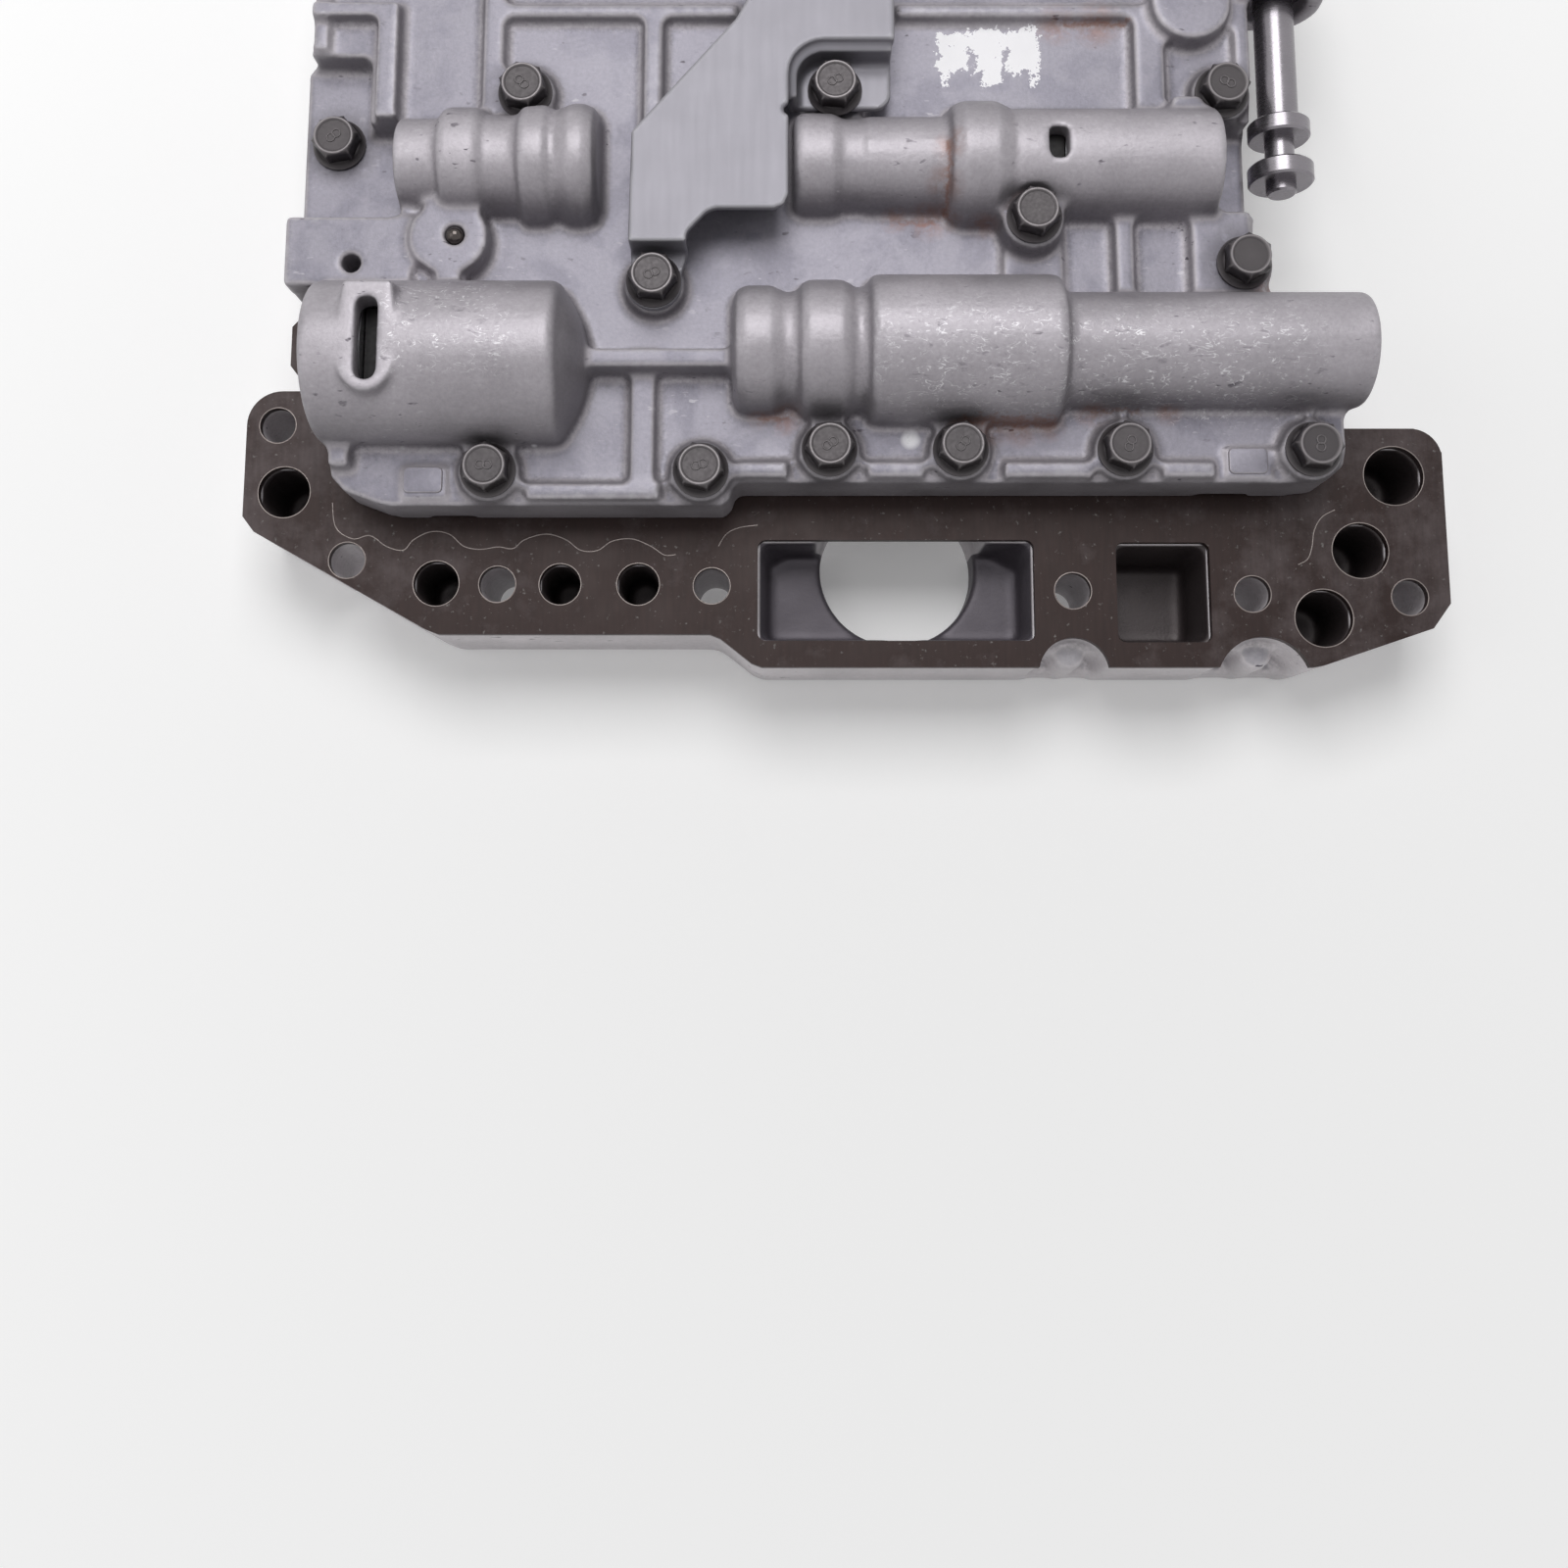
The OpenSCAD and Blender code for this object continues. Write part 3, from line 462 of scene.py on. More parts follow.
@dataclass(frozen=True)
class OiledPlate:
    """Rolled steel sheet browned by oil: dark, half glossy, greyer where the film has rubbed off."""

    name: str = "oiled_steel_sheet"
    film: str = "#291c1a"
    rubbed: str = "#4a4141"
    bare: str = "#8a8886"
    metal: float = 0.3
    shine: float = 0.3

    def material(self) -> Material:
        """Builds the material.

        Returns:
            The material.
        """
        material, t, shader = blank(self.name)
        co = add(t, "ShaderNodeTexCoord").outputs["Object"]
        # rolling marks run front to back
        rolled = add(t, "ShaderNodeMapping", {"Vector": co, "Scale": (1.0, 0.12, 1.0)})
        clouds = {
            "drift": (co, per_mm(14), 6.0, 0.65),
            "fine": (co, per_mm(1.6), 3.0, 0.7),
            "streak": (rolled, per_mm(1.0), 2.0),
        }
        n = {name: add(t, "ShaderNodeTexNoise", dict(zip(NOISE, row))) for name, row in clouds.items()}
        # the film is rubbed most towards both ends
        side = add(t, "ShaderNodeSeparateXYZ", {0: co}).outputs["X"]
        side = add(t, "ShaderNodeMath", {0: side}, operation="ABSOLUTE")
        ends = add(t, "ShaderNodeMapRange", dict(zip(RAMP, (side, 60 * MM, 150 * MM, -0.1, 0.12))))
        rub = add(t, "ShaderNodeMath", {0: n["drift"], 1: ends}, operation="ADD")
        ramps = {
            "rub": (rub, 0.46, 0.7),
            "speck": (n["fine"], 0.64, 0.74, 0.0, 0.5),
            "line": (n["streak"], 0.3, 0.7, 0.88, 1.12),
            "rough": (n["drift"], 0.3, 0.7, 0.38, 0.55),
        }
        r = {name: add(t, "ShaderNodeMapRange", dict(zip(RAMP, row))) for name, row in ramps.items()}
        layers: Layers = [
            ("MIX", r["rub"], linear(self.rubbed)),
            ("MIX", r["speck"], linear(self.bare)),
            ("MULTIPLY", 1.0, r["line"]),
        ]
        bump = add(t, "ShaderNodeBump", {"Strength": 0.15, "Distance": 0.05 * MM, "Height": n["fine"]})
        links = {"Roughness": r["rough"], "Normal": bump, "Metallic": self.metal, "Specular IOR Level": self.shine}
        coat(t, shader, linear(self.film), layers, links)
        return material


@dataclass(frozen=True)
class Metal:
    """A plain worked metal: one colour that drifts a little, with a worked grain and worn edges."""

    name: str
    tint: str
    worn: str
    rough: float
    metal: float = 1.0
    # grain size in mm along X, Y and Z: a long side gives a brushed or turned look
    grain: tuple[float, float, float] = (1.0, 1.0, 1.0)
    depth: float = 0.02
    drift: float = 0.1
    # a coat that reflects less than bare metal has less than 0.5
    shine: float = 0.5
    # how unevenly it shines
    patchy: float = 0.18

    def material(self) -> Material:
        """Builds the material.

        Returns:
            The material.
        """
        material, t, shader = blank(self.name)
        co = add(t, "ShaderNodeTexCoord").outputs["Object"]
        cloud = add(t, "ShaderNodeTexNoise", {"Vector": co, "Scale": per_mm(9), "Detail": 4.0})
        worked = add(t, "ShaderNodeMapping", {"Vector": co, "Scale": tuple(per_mm(g) for g in self.grain)})
        worked = add(t, "ShaderNodeTexNoise", {"Vector": worked, "Scale": 1.0, "Detail": 2.0})
        drifts = (cloud, 0.3, 0.7, 1 - self.drift, 1 + self.drift)
        roughs = (worked, 0.3, 0.7, self.rough * (1 - self.patchy), self.rough * (1 + self.patchy))
        drift, rough = (add(t, "ShaderNodeMapRange", dict(zip(RAMP, row))) for row in (drifts, roughs))
        edge = add(t, "ShaderNodeAttribute", attribute_name="edge").outputs["Fac"]
        layers: Layers = [("MULTIPLY", 1.0, drift), ("MIX", edge, linear(self.worn))]
        bump = add(t, "ShaderNodeBump", {"Strength": 0.4, "Distance": self.depth * MM, "Height": worked})
        links = {"Roughness": rough, "Normal": bump, "Metallic": self.metal, "Specular IOR Level": self.shine}
        coat(t, shader, linear(self.tint), layers, links)
        return material


# zinc-plated sheet: pale, even and softly reflective
BRACKET_SHEET = Metal(
    "zinc_plated_sheet", "#7e7c83", "#a9a8ac", 0.46, 0.4, (1.5, 20.0, 20.0), 0.001, 0.04, 0.5, 0.03
)
# black phosphated bolt steel: dark and matt, rubbed grey on its rims
BOLT_BLACK = Metal("phosphated_bolt_steel", "#262224", "#8b8688", 0.42, 0.4, (0.8, 0.8, 0.8), 0.03, 0.25, 0.3)
# ground valve steel: a polished rod with fine rings round it
GROUND_STEEL = Metal("ground_valve_steel", "#858186", "#a8a4a4", 0.26, 0.9, (6.0, 0.4, 6.0), 0.01, 0.08)
# hardened ball steel: dark and mirror-like
BALL_STEEL = Metal("hardened_ball_steel", "#4f4a48", "#7c7875", 0.16, 1.0, (1.0, 1.0, 1.0), 0.005, 0.08)
# turned aluminium: pale, with fine turning rings across X
TURNED = Metal("turned_aluminium", "#a9a9ac", "#c2c2c4", 0.32, 1.0, (0.5, 8.0, 8.0), 0.02, 0.06)
# drawn spring wire: grey and smooth
WIRE = Metal("drawn_spring_wire", "#77777a", "#9a9a9c", 0.3, 1.0, (0.6, 0.6, 0.6), 0.01, 0.08)
# key steel black with oil, and painted near black as shade deep in its slot
KEY_STEEL_IN_SHADE = Metal("oiled_key_steel_in_shade", "#161415", "#3a3737", 0.45, 0.2, (1.0, 1.0, 1.0), 0.01, 0.1, 0.2)
# bare steel where the plate's oil film is scraped off in a thin line, which on the holes' rims is also a painted
# highlight
SCRAPED_AND_HIGHLIT = Metal("scraped_and_highlit_steel", "#857c79", "#8f8783", 0.4, 0.6, (0.5, 0.5, 0.5), 0.01, 0.2)
# nitrile rubber: black and matt
RUBBER = Metal("nitrile_rubber", "#141414", "#232323", 0.6, 0.0, (0.6, 0.6, 0.6), 0.02, 0.1)


def relax(co: np.ndarray, edges: np.ndarray, rounds: int, weight: float) -> np.ndarray:
    """Moves each vertex towards the middle of its neighbours.

    Args:
        co: vertex places, one row each.
        edges: vertex pairs, one row each.
        rounds: how many times.
        weight: how far, from 0 to 1.

    Returns:
        The new places.
    """
    n = len(co)
    i, j = edges[:, 0], edges[:, 1]
    count = np.maximum(np.bincount(edges.ravel(), minlength=n), 1)[:, None]
    for _ in range(rounds):
        sums = [np.bincount(i, co[j, k], n) + np.bincount(j, co[i, k], n) for k in range(3)]
        co = co + weight * (np.stack(sums, axis=1) / count - co)
    return co


def places(mesh: Mesh) -> np.ndarray:
    """Reads a mesh's vertex places.

    Args:
        mesh: the mesh.

    Returns:
        An array with one row for each vertex.
    """
    flat = np.empty(len(mesh.vertices) * 3)
    mesh.vertices.foreach_get("co", flat)
    return flat.reshape(-1, 3)


def write_mark(mesh: Mesh, name: str, values: Any) -> None:
    """Writes a mark on a mesh's points.

    Args:
        mesh: the mesh.
        name: name of the mark.
        values: one number for each point.
    """
    layer = mesh.attributes.new(name, "FLOAT", "POINT")
    layer.data.foreach_set("value", np.asarray(values, dtype=np.float32))


def linked(name: str, mesh: Mesh) -> Object:
    """Puts a mesh in the scene as a new object.

    Args:
        name: name of the object.
        mesh: its mesh.

    Returns:
        The object.
    """
    obj = bpy.data.objects.new(name, mesh)
    bpy.context.scene.collection.objects.link(obj)
    return obj


def flatten(obj: Object, name: str) -> Mesh:
    """Turns an object with its modifiers into one plain mesh, and takes the object away.

    Args:
        obj: the object.
        name: name of the mesh.

    Returns:
        The mesh.
    """
    graph = bpy.context.evaluated_depsgraph_get()
    mesh = bpy.data.meshes.new_from_object(obj.evaluated_get(graph))
    obj.modifiers.clear()
    old = obj.data
    bpy.data.objects.remove(obj)
    bpy.data.meshes.remove(old)
    mesh.name = name
    return mesh


def place(name: str, mesh: Mesh, slot: Slot, body: str = "base", *nodes: str) -> Object:
    """Puts a finished mesh in the scene as a piece.

    Args:
        name: the piece's name.
        mesh: its mesh, in the shared frame.
        slot: the record's slot; not used.
        body: the body it rides on.
        nodes: the solids it stands for.

    Returns:
        The piece.
    """
    obj = linked(name, mesh)
    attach(obj, body)
    if nodes:
        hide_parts(*nodes)
    log.info("%s: %d faces on %s", name, len(mesh.polygons), body)
    return obj


def start_tree(name: str, result: str, inputs: dict[str, str]) -> tuple[Tree, Node]:
    """Starts a Geometry Nodes tree.

    Args:
        name: name of the tree.
        result: name of its output.
        inputs: the kind of each named input.

    Returns:
        The tree, and the node that gives its inputs.
    """
    tree = bpy.data.node_groups.new(name, "GeometryNodeTree")
    for socket, kind in inputs.items():
        tree.interface.new_socket(socket, in_out="INPUT", socket_type="NodeSocket" + kind)
    tree.interface.new_socket(result, in_out="OUTPUT", socket_type="NodeSocketGeometry")
    return tree, add(tree, "NodeGroupInput")


def end_tree(tree: Tree, given: Node, geometry: Node) -> Tree:
    """Ends a tree with real meshes in the finish that it is given.

    Args:
        tree: the tree.
        given: the node that gives its inputs.
        geometry: the node that gives what it has made.

    Returns:
        The tree.
    """
    real = add(tree, "GeometryNodeRealizeInstances", {0: geometry})
    done = add(tree, "GeometryNodeSetMaterial", {"Geometry": real, "Material": given.outputs["Finish"]})
    add(tree, "NodeGroupOutput", {0: done})
    return tree


def run_tree(maker: Object, tree: Tree, values: dict[str, Any]) -> None:
    """Puts a tree on an object and sets its inputs by their identifiers.

    Args:
        maker: the object.
        tree: the tree.
        values: input name to value.
    """
    modifier = maker.modifiers.new(tree.name, "NODES")
    modifier.node_group = tree
    keys = {item.name: item.identifier for item in tree.interface.items_tree if item.in_out == "INPUT"}
    for name, value in values.items():
        modifier[keys[name]] = value


def shell(points: np.ndarray, quads: np.ndarray, name: str) -> Mesh:
    """Makes a mesh of four-sided faces, turned to face outwards.

    Args:
        points: vertex places in metres, one row each.
        quads: vertex numbers, one row for each face.
        name: name of the mesh.

    Returns:
        The mesh.
    """
    a, b, c, d = (points[quads[:, k]] for k in range(4))
    if np.einsum("ij,ij->", a, np.cross(b, c) + np.cross(c, d)) < 0:
        quads = quads[:, ::-1]
    mesh = bpy.data.meshes.new(name)
    mesh.vertices.add(len(points))
    mesh.vertices.foreach_set("co", np.ascontiguousarray(points, dtype=np.float32).ravel())
    mesh.loops.add(quads.size)
    mesh.loops.foreach_set("vertex_index", np.ascontiguousarray(quads, dtype=np.int32).ravel())
    mesh.polygons.add(len(quads))
    mesh.polygons.foreach_set("loop_start", np.arange(0, quads.size, 4, dtype=np.int32))
    mesh.update(calc_edges=True)
    return mesh


@dataclass(frozen=True)
class Cut:
    """An upright slot, hole or block with rounded corners in plan, in mm from the front edge."""

    x0: float
    y0: float
    x1: float
    y1: float
    z0: float
    z1: float
    corner: float

    def box(self) -> tuple[np.ndarray, np.ndarray]:
        """Gives the lowest and the highest corner."""
        return np.array([self.x0, self.y0, self.z0]), np.array([self.x1, self.y1, self.z1])

    def gap(self, x: np.ndarray, y: np.ndarray, z: np.ndarray) -> np.ndarray:
        """Measures how far points lie outside.

        Args:
            x: places along X in mm.
            y: places along Y in mm from the front edge.
            z: heights in mm.

        Returns:
            The distances, below zero inside.
        """
        low, high = self.box()
        middle, half = (low + high) / 2, (high - low) / 2
        across = np.abs(x - middle[0]) - half[0] + self.corner
        along = np.abs(y - middle[1]) - half[1] + self.corner
        plan = np.hypot(np.maximum(across, 0), np.maximum(along, 0)) + np.minimum(np.maximum(across, along), 0)
        return np.maximum(plan - self.corner, np.abs(z - middle[2]) - half[2])


@dataclass(frozen=True)
class Dome:
    """A cast round end, turned round an axis along X: it rounds off an end that the solid has plainer, in mm."""

    axis: tuple[float, float]
    # the end's outline as x and radius, from the wide end to the tip
    outline: tuple[tuple[float, float], ...]
    floor: float

    def box(self) -> tuple[np.ndarray, np.ndarray]:
        """Measures the end's box.

        Returns:
            The lowest and the highest corner, in mm from the front edge.
        """
        (x0, wide), x1 = self.outline[0], self.outline[-1][0]
        y, z = self.axis
        return np.array([x0, y - wide, self.floor]), np.array([x1, y + wide, z + wide])

    def gap(self, x: np.ndarray, y: np.ndarray, z: np.ndarray) -> np.ndarray:
        """Measures how far points lie outside the end.

        Args:
            x: places along X in mm.
            y: places along Y in mm from the front edge.
            z: heights in mm.

        Returns:
            The distances, below zero inside.
        """
        r = np.hypot(y - self.axis[0], z - self.axis[1])
        off = np.full(r.shape, np.inf)
        for (xa, ra), (xb, rb) in zip(self.outline, self.outline[1:]):
            dx, dr = xb - xa, rb - ra
            share = np.clip(((x - xa) * dx + (r - ra) * dr) / (dx**2 + dr**2), 0, 1)
            off = np.minimum(off, np.hypot(x - xa - share * dx, r - ra - share * dr))
        xs, rs = zip(*self.outline)
        inside = (r < np.interp(x, xs, rs)) & (x > xs[0]) & (x < xs[-1])
        return np.maximum(np.where(inside, -off, off), self.floor - z)


@dataclass
class SoftPiece:
    """A solid with filled inner corners and rounded edges, as casting or pressing leaves them, in mm."""

    node: str
    slot: Slot
    cell: float
    fillet: float
    edge: float
    # most triangles
    limit: int
    # machined openings that stay crisp, and forms that are added
    cuts: tuple[Cut, ...] = ()
    fills: tuple[Dome | Cut, ...] = ()
    # how far an edge or a corner has to stand off its smoothed shape to count fully, and how wide it is smoothed
    reach: float = 0.6
    spread: float = 12.0

    def _soften(self) -> Mesh:
        """Grows, shrinks and grows the solid's skin again.

        Returns:
            The rounded skin.
        """
        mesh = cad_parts[self.node].data
        mesh.calc_loop_triangles()
        faces = np.empty(len(mesh.loop_triangles) * 3, dtype=np.int32)
        mesh.loop_triangles.foreach_get("vertices", faces)
        points, sides = places(mesh) / MM, {"triangles": faces.reshape(-1, 3).astype(np.uint32)}
        for step in (self.fillet, -self.fillet - self.edge, self.edge):
            grid = openvdb.FloatGrid.createLevelSetFromPolygons(
                np.ascontiguousarray(points, dtype=np.float32),
                transform=openvdb.createLinearTransform(voxelSize=self.cell),
                halfWidth=abs(step) / self.cell + 2.5,
                **sides,
            )
            if step == self.fillet:
                for form in self.fills:
                    self._change(grid, form, lambda now, gap: np.minimum(now, gap))
            if step == self.edge:
                for form in self.cuts:
                    self._change(grid, form, lambda now, gap: np.maximum(now, self.edge - gap))
            points, quads = grid.convertToQuads(isovalue=step)
            sides = {"quads": np.ascontiguousarray(quads, dtype=np.uint32)}
        points, quads = np.asarray(points, dtype=np.float64), np.asarray(quads, dtype=np.int64)
        return shell(points * MM, quads, self.node)

    def _change(self, grid: openvdb.FloatGrid, form: Dome | Cut, rule: Callable[..., np.ndarray]) -> None:
        """Changes a skin's distances round a form.

        Args:
            grid: the distances.
            form: the form that is cut or added.
            rule: gives new distances from the present ones and those to the form.
        """
        low, high = form.box()
        front = np.array([0.0, HALF_DEPTH, 0.0])
        first = np.floor((low - front) / self.cell).astype(int) - 3
        last = np.ceil((high - front) / self.cell).astype(int) + 3
        i, j, k = np.meshgrid(*(np.arange(a, b + 1) for a, b in zip(first, last)), indexing="ij")
        corner = tuple(int(v) for v in first)
        now = np.zeros(i.shape, dtype=np.float32)
        grid.copyToArray(now, ijk=corner)
        new = rule(now, form.gap(i * self.cell, j * self.cell + HALF_DEPTH, k * self.cell))
        grid.copyFromArray(np.clip(new, -grid.background, grid.background).astype(np.float32), ijk=corner)

    def build(self, material: Material) -> Object:
        """Makes the softened piece, marks its edges and corners, and hides the solid.

        Args:
            material: its finish.

        Returns:
            The piece.
        """
        mesh = self._soften()
        edges = np.empty(len(mesh.edges) * 2, dtype=np.int64)
        mesh.edges.foreach_get("vertices", edges)
        edges = edges.reshape(-1, 2)
        co = relax(places(mesh), edges, 2, 0.5)
        mesh.vertices.foreach_set("co", co.ravel())
        mesh.update()
        normal = np.empty(len(co) * 3)
        mesh.vertex_normals.foreach_get("vector", normal)
        off = co - relax(co, edges, int(self.spread / self.cell), 0.5)
        stand = np.einsum("ij,ij->i", off, normal.reshape(-1, 3)) / (self.reach * MM)
        tree = KDTree(len(co))
        for k, p in enumerate(co):
            tree.insert(p, k)
        tree.balance()
        obj = linked(self.node + "_soft", mesh)
        thin = obj.modifiers.new("thin", "DECIMATE")
        thin.ratio = min(1.0, self.limit / (len(mesh.polygons) * 2))
        thin.use_collapse_triangulate = True
        mesh = flatten(obj, self.node + "_skin")
        near = np.array([tree.find(v.co)[1] for v in mesh.vertices])
        for name, value in (("edge", stand[near]), ("corner", -stand[near])):
            write_mark(mesh, name, np.clip((value - 0.15) / 0.85, 0, 1))
        mesh.shade_smooth()
        mesh.materials.append(material)
        return place(self.node + "_skin", mesh, self.slot, "base", self.node)


@dataclass
class FlangeBolts:
    """Hexagon flange bolts: a dished head with a worn rim, a wide flange and a plain shank, in mm."""

    name: str
    node: str
    length: float
    # seats as x, y, z from the front edge, turn in degrees, and whether the head carries the grade rings
    seats: tuple[tuple[float, float, float, float, bool], ...] = ()
    flats: float = 10.0
    flange: float = 13.0
    head: float = 6.0
    shank: float = 6.0
    sides: int = 72

    def _bolt(self) -> Mesh:
        """Builds one bolt seated at the origin, with its worn rims marked.

        Returns:
            The bolt's mesh.
        """
        half = self.flats / 2
        rim = half * 0.93
        edge_r = self.flange / 2
        # rings as height, radius, whether the radius is cut by the hexagon, wear
        rings = [
            (-self.length, self.shank / 2 - 0.8, False, 0.0),
            (-self.length + 0.8, self.shank / 2, False, 0.0),
            (-0.01, self.shank / 2, False, 0.0),
            (0.0, edge_r - 0.2, False, 0.0),
            (0.2, edge_r, False, 0.1),
            (0.75, edge_r, False, 0.4),
            (1.0, edge_r - 0.25, False, 0.25),
            (1.7, half * 1.12, False, 0.0),
            (1.9, half * 1.2, True, 0.0),
            (self.head - 1.1, half * 1.2, True, 0.05),
            (self.head - 0.18, rim + 0.22, True, 0.45),
            (self.head, rim, False, 0.85),
            (self.head, rim - 0.3, False, 0.6),
            (self.head - 0.3, rim - 0.75, False, 0.16),
            (self.head - 0.32, 0.02, False, 0.2),
        ]
        verts, wear = [], []
        for z, r, hexed, worn in rings:
            for k in range(self.sides):
                a = 2 * math.pi * k / self.sides
                across = half / math.cos((a + math.pi / 6) % (math.pi / 3) - math.pi / 6)
                q = min(r, across) if hexed else r
                verts.append((q * math.cos(a) * MM, q * math.sin(a) * MM, z * MM))
                corner = 0.25 if hexed and q > half * 1.12 else 0.0
                wear.append(max(worn, corner))
        n = self.sides
        faces = [
            (r * n + k, r * n + (k + 1) % n, (r + 1) * n + (k + 1) % n, (r + 1) * n + k)
            for r in range(len(rings) - 1)
            for k in range(n)
        ]
        faces += [tuple(reversed(range(n))), tuple((len(rings) - 1) * n + k for k in range(n))]
        mesh = bpy.data.meshes.new(self.name + "_one")
        mesh.from_pydata(verts, [], faces)
        write_mark(mesh, "edge", wear)
        mesh.shade_smooth()
        mesh.set_sharp_from_angle(angle=math.radians(32))
        return mesh

    def _rings(self) -> Mesh:
        """Builds the two raised rings of the grade mark on a head.

        Returns:
            The rings' mesh.
        """
        around, across, radius, wire = 24, 8, 1.0, 0.2
        verts, faces = [], []
        for centre in (-0.86, 0.86):
            start = len(verts)
            for i in range(around):
                a = 2 * math.pi * i / around
                for j in range(across):
                    b = 2 * math.pi * j / across
                    q = radius + wire * math.cos(b)
                    z = self.head - 0.3 + wire * math.sin(b)
                    verts.append(((centre + q * math.cos(a)) * MM, q * math.sin(a) * MM, z * MM))
                    at = [(i, j), (i + 1, j), (i + 1, j + 1), (i, j + 1)]
                    faces.append(tuple(start + (p % around) * across + q % across for p, q in at))
        mesh = bpy.data.meshes.new(self.name + "_mark")
        mesh.from_pydata(verts, [], faces)
        write_mark(mesh, "edge", np.full(len(verts), 0.4))
        mesh.shade_smooth()
        return mesh

    def _tree(self) -> Tree:
        """Builds the tree that sets a bolt on every seat, and the mark on the marked ones.

        Returns:
            The tree.
        """
        kinds = {"Seats": "Geometry", "Bolt": "Object", "Mark": "Object", "Finish": "Material"}
        tree, given = start_tree(self.name + "_seats", "Bolts", kinds)
        turn = add(tree, "GeometryNodeInputNamedAttribute", {"Name": "turn"}, data_type="FLOAT_VECTOR")
        marked = add(tree, "GeometryNodeInputNamedAttribute", {"Name": "marked"}, data_type="BOOLEAN")
        spin = add(tree, "FunctionNodeEulerToRotation", {0: turn.outputs["Attribute"]})
        both = add(tree, "GeometryNodeJoinGeometry")
        for name, chosen in (("Bolt", True), ("Mark", marked.outputs["Attribute"])):
            form = add(tree, "GeometryNodeObjectInfo", {"Object": given.outputs[name]}).outputs["Geometry"]
            links = {"Points": given.outputs["Seats"], "Selection": chosen, "Instance": form, "Rotation": spin}
            fill(tree, both, {0: add(tree, "GeometryNodeInstanceOnPoints", links)})
        return end_tree(tree, given, both)

    def build(self, material: Material) -> Object:
        """Makes all the bolts of the group as one piece.

        Args:
            material: their finish.

        Returns:
            The piece.
        """
        points = bpy.data.meshes.new(self.name + "_points")
        points.from_pydata([spot(*seat[:3]) for seat in self.seats], [], [])
        turn = points.attributes.new("turn", "FLOAT_VECTOR", "POINT")
        turns = [(0, 0, math.radians(seat[3])) for seat in self.seats]
        turn.data.foreach_set("vector", np.array(turns, dtype=np.float32).ravel())
        marked = points.attributes.new("marked", "BOOLEAN", "POINT")
        marked.data.foreach_set("value", [seat[4] for seat in self.seats])
        maker = linked(self.name + "_maker", points)
        bolt = linked(self.name + "_one", self._bolt())
        rings = linked(self.name + "_mark", self._rings())
        run_tree(maker, self._tree(), {"Bolt": bolt, "Mark": rings, "Finish": material})
        mesh = flatten(maker, self.name)
        for obj in (bolt, rings):
            bpy.data.objects.remove(obj)
        return place(self.name, mesh, Slot.BOLT, "base", self.node)


@dataclass
class PlateMarks:
    """Thin scraped lines on the plate: a gasket's scalloped print and the rubbed rims of the holes, which also stand
    for a painted highlight, in mm.
    """

    prints: tuple[tuple[tuple[float, float], ...], ...]
    rims: tuple[tuple[float, float, float], ...]
    name: str = "plate_marks"
    wire: float = 0.14
    # lines are pressed flat, so that they stand hardly over the plate
    press: float = 0.3

    def _tree(self) -> Tree:
        """Builds the tree that draws the prints and rings the holes.

        Returns:
            The tree.
        """
        kinds = {"Marks": "Geometry", "Wire": "Float", "Seat": "Float", "Finish": "Material"}
        tree, given = start_tree(self.name, "Lines", kinds)
        radius = add(tree, "GeometryNodeInputNamedAttribute", {"Name": "radius_m"}, data_type="FLOAT")
        radius = radius.outputs["Attribute"]
        hole = add(tree, "FunctionNodeCompare", {0: radius, 1: 0.0}, data_type="FLOAT", operation="GREATER_THAN")
        parts = add(tree, "GeometryNodeSeparateGeometry", {0: given.outputs["Marks"], 1: hole}, domain="POINT")
        ring = add(tree, "GeometryNodeCurvePrimitiveCircle", {"Resolution": 64, "Radius": 1.0})
        links = {"Points": parts.outputs["Selection"], "Instance": ring, "Scale": radius}
        rings = add(tree, "GeometryNodeInstanceOnPoints", links)
        rings = add(tree, "GeometryNodeRealizeInstances", {0: rings})
        path = add(tree, "GeometryNodeMeshToCurve", {0: parts.outputs["Inverted"]})
        path = add(tree, "GeometryNodeCurveSplineType", {0: path}, spline_type="CATMULL_ROM")
        path = add(tree, "GeometryNodeResampleCurve", {"Curve": path, "Count": 160})
        both = add(tree, "GeometryNodeJoinGeometry", {0: rings})
        fill(tree, both, {0: path})
        section = add(tree, "GeometryNodeCurvePrimitiveCircle", {"Resolution": 6, "Radius": given.outputs["Wire"]})
        wire = add(tree, "GeometryNodeCurveToMesh", {"Curve": both, "Profile Curve": section})
        flat = add(tree, "GeometryNodeTransform", {"Geometry": wire, "Scale": (1.0, 1.0, self.press)})
        lift = add(tree, "ShaderNodeCombineXYZ", {"Z": given.outputs["Seat"]})
        return end_tree(tree, given, add(tree, "GeometryNodeTransform", {"Geometry": flat, "Translation": lift}))

    def build(self, material: Material) -> Object:
        """Draws the lines as one piece.

        Args:
            material: their finish.

        Returns:
            The piece.
        """
        verts, edges, radii = [], [], []
        for line in self.prints:
            start = len(verts)
            verts += [spot(x, y, 0) for x, y in line]
            radii += [0.0] * len(line)
            edges += [(start + k, start + k + 1) for k in range(len(line) - 1)]
        for x, y, r in self.rims:
            verts.append(spot(x, y, 0))
            radii.append(r * MM)
        mesh = bpy.data.meshes.new(self.name + "_maker")
        mesh.from_pydata(verts, edges, [])
        write_mark(mesh, "radius_m", radii)
        maker = linked(self.name + "_maker", mesh)
        run_tree(maker, self._tree(), {"Wire": self.wire * MM, "Seat": Z_SEAT * MM, "Finish": material})
        mesh = flatten(maker, self.name)
        mesh.shade_smooth()
        return place(self.name, mesh, Slot.PLATE)


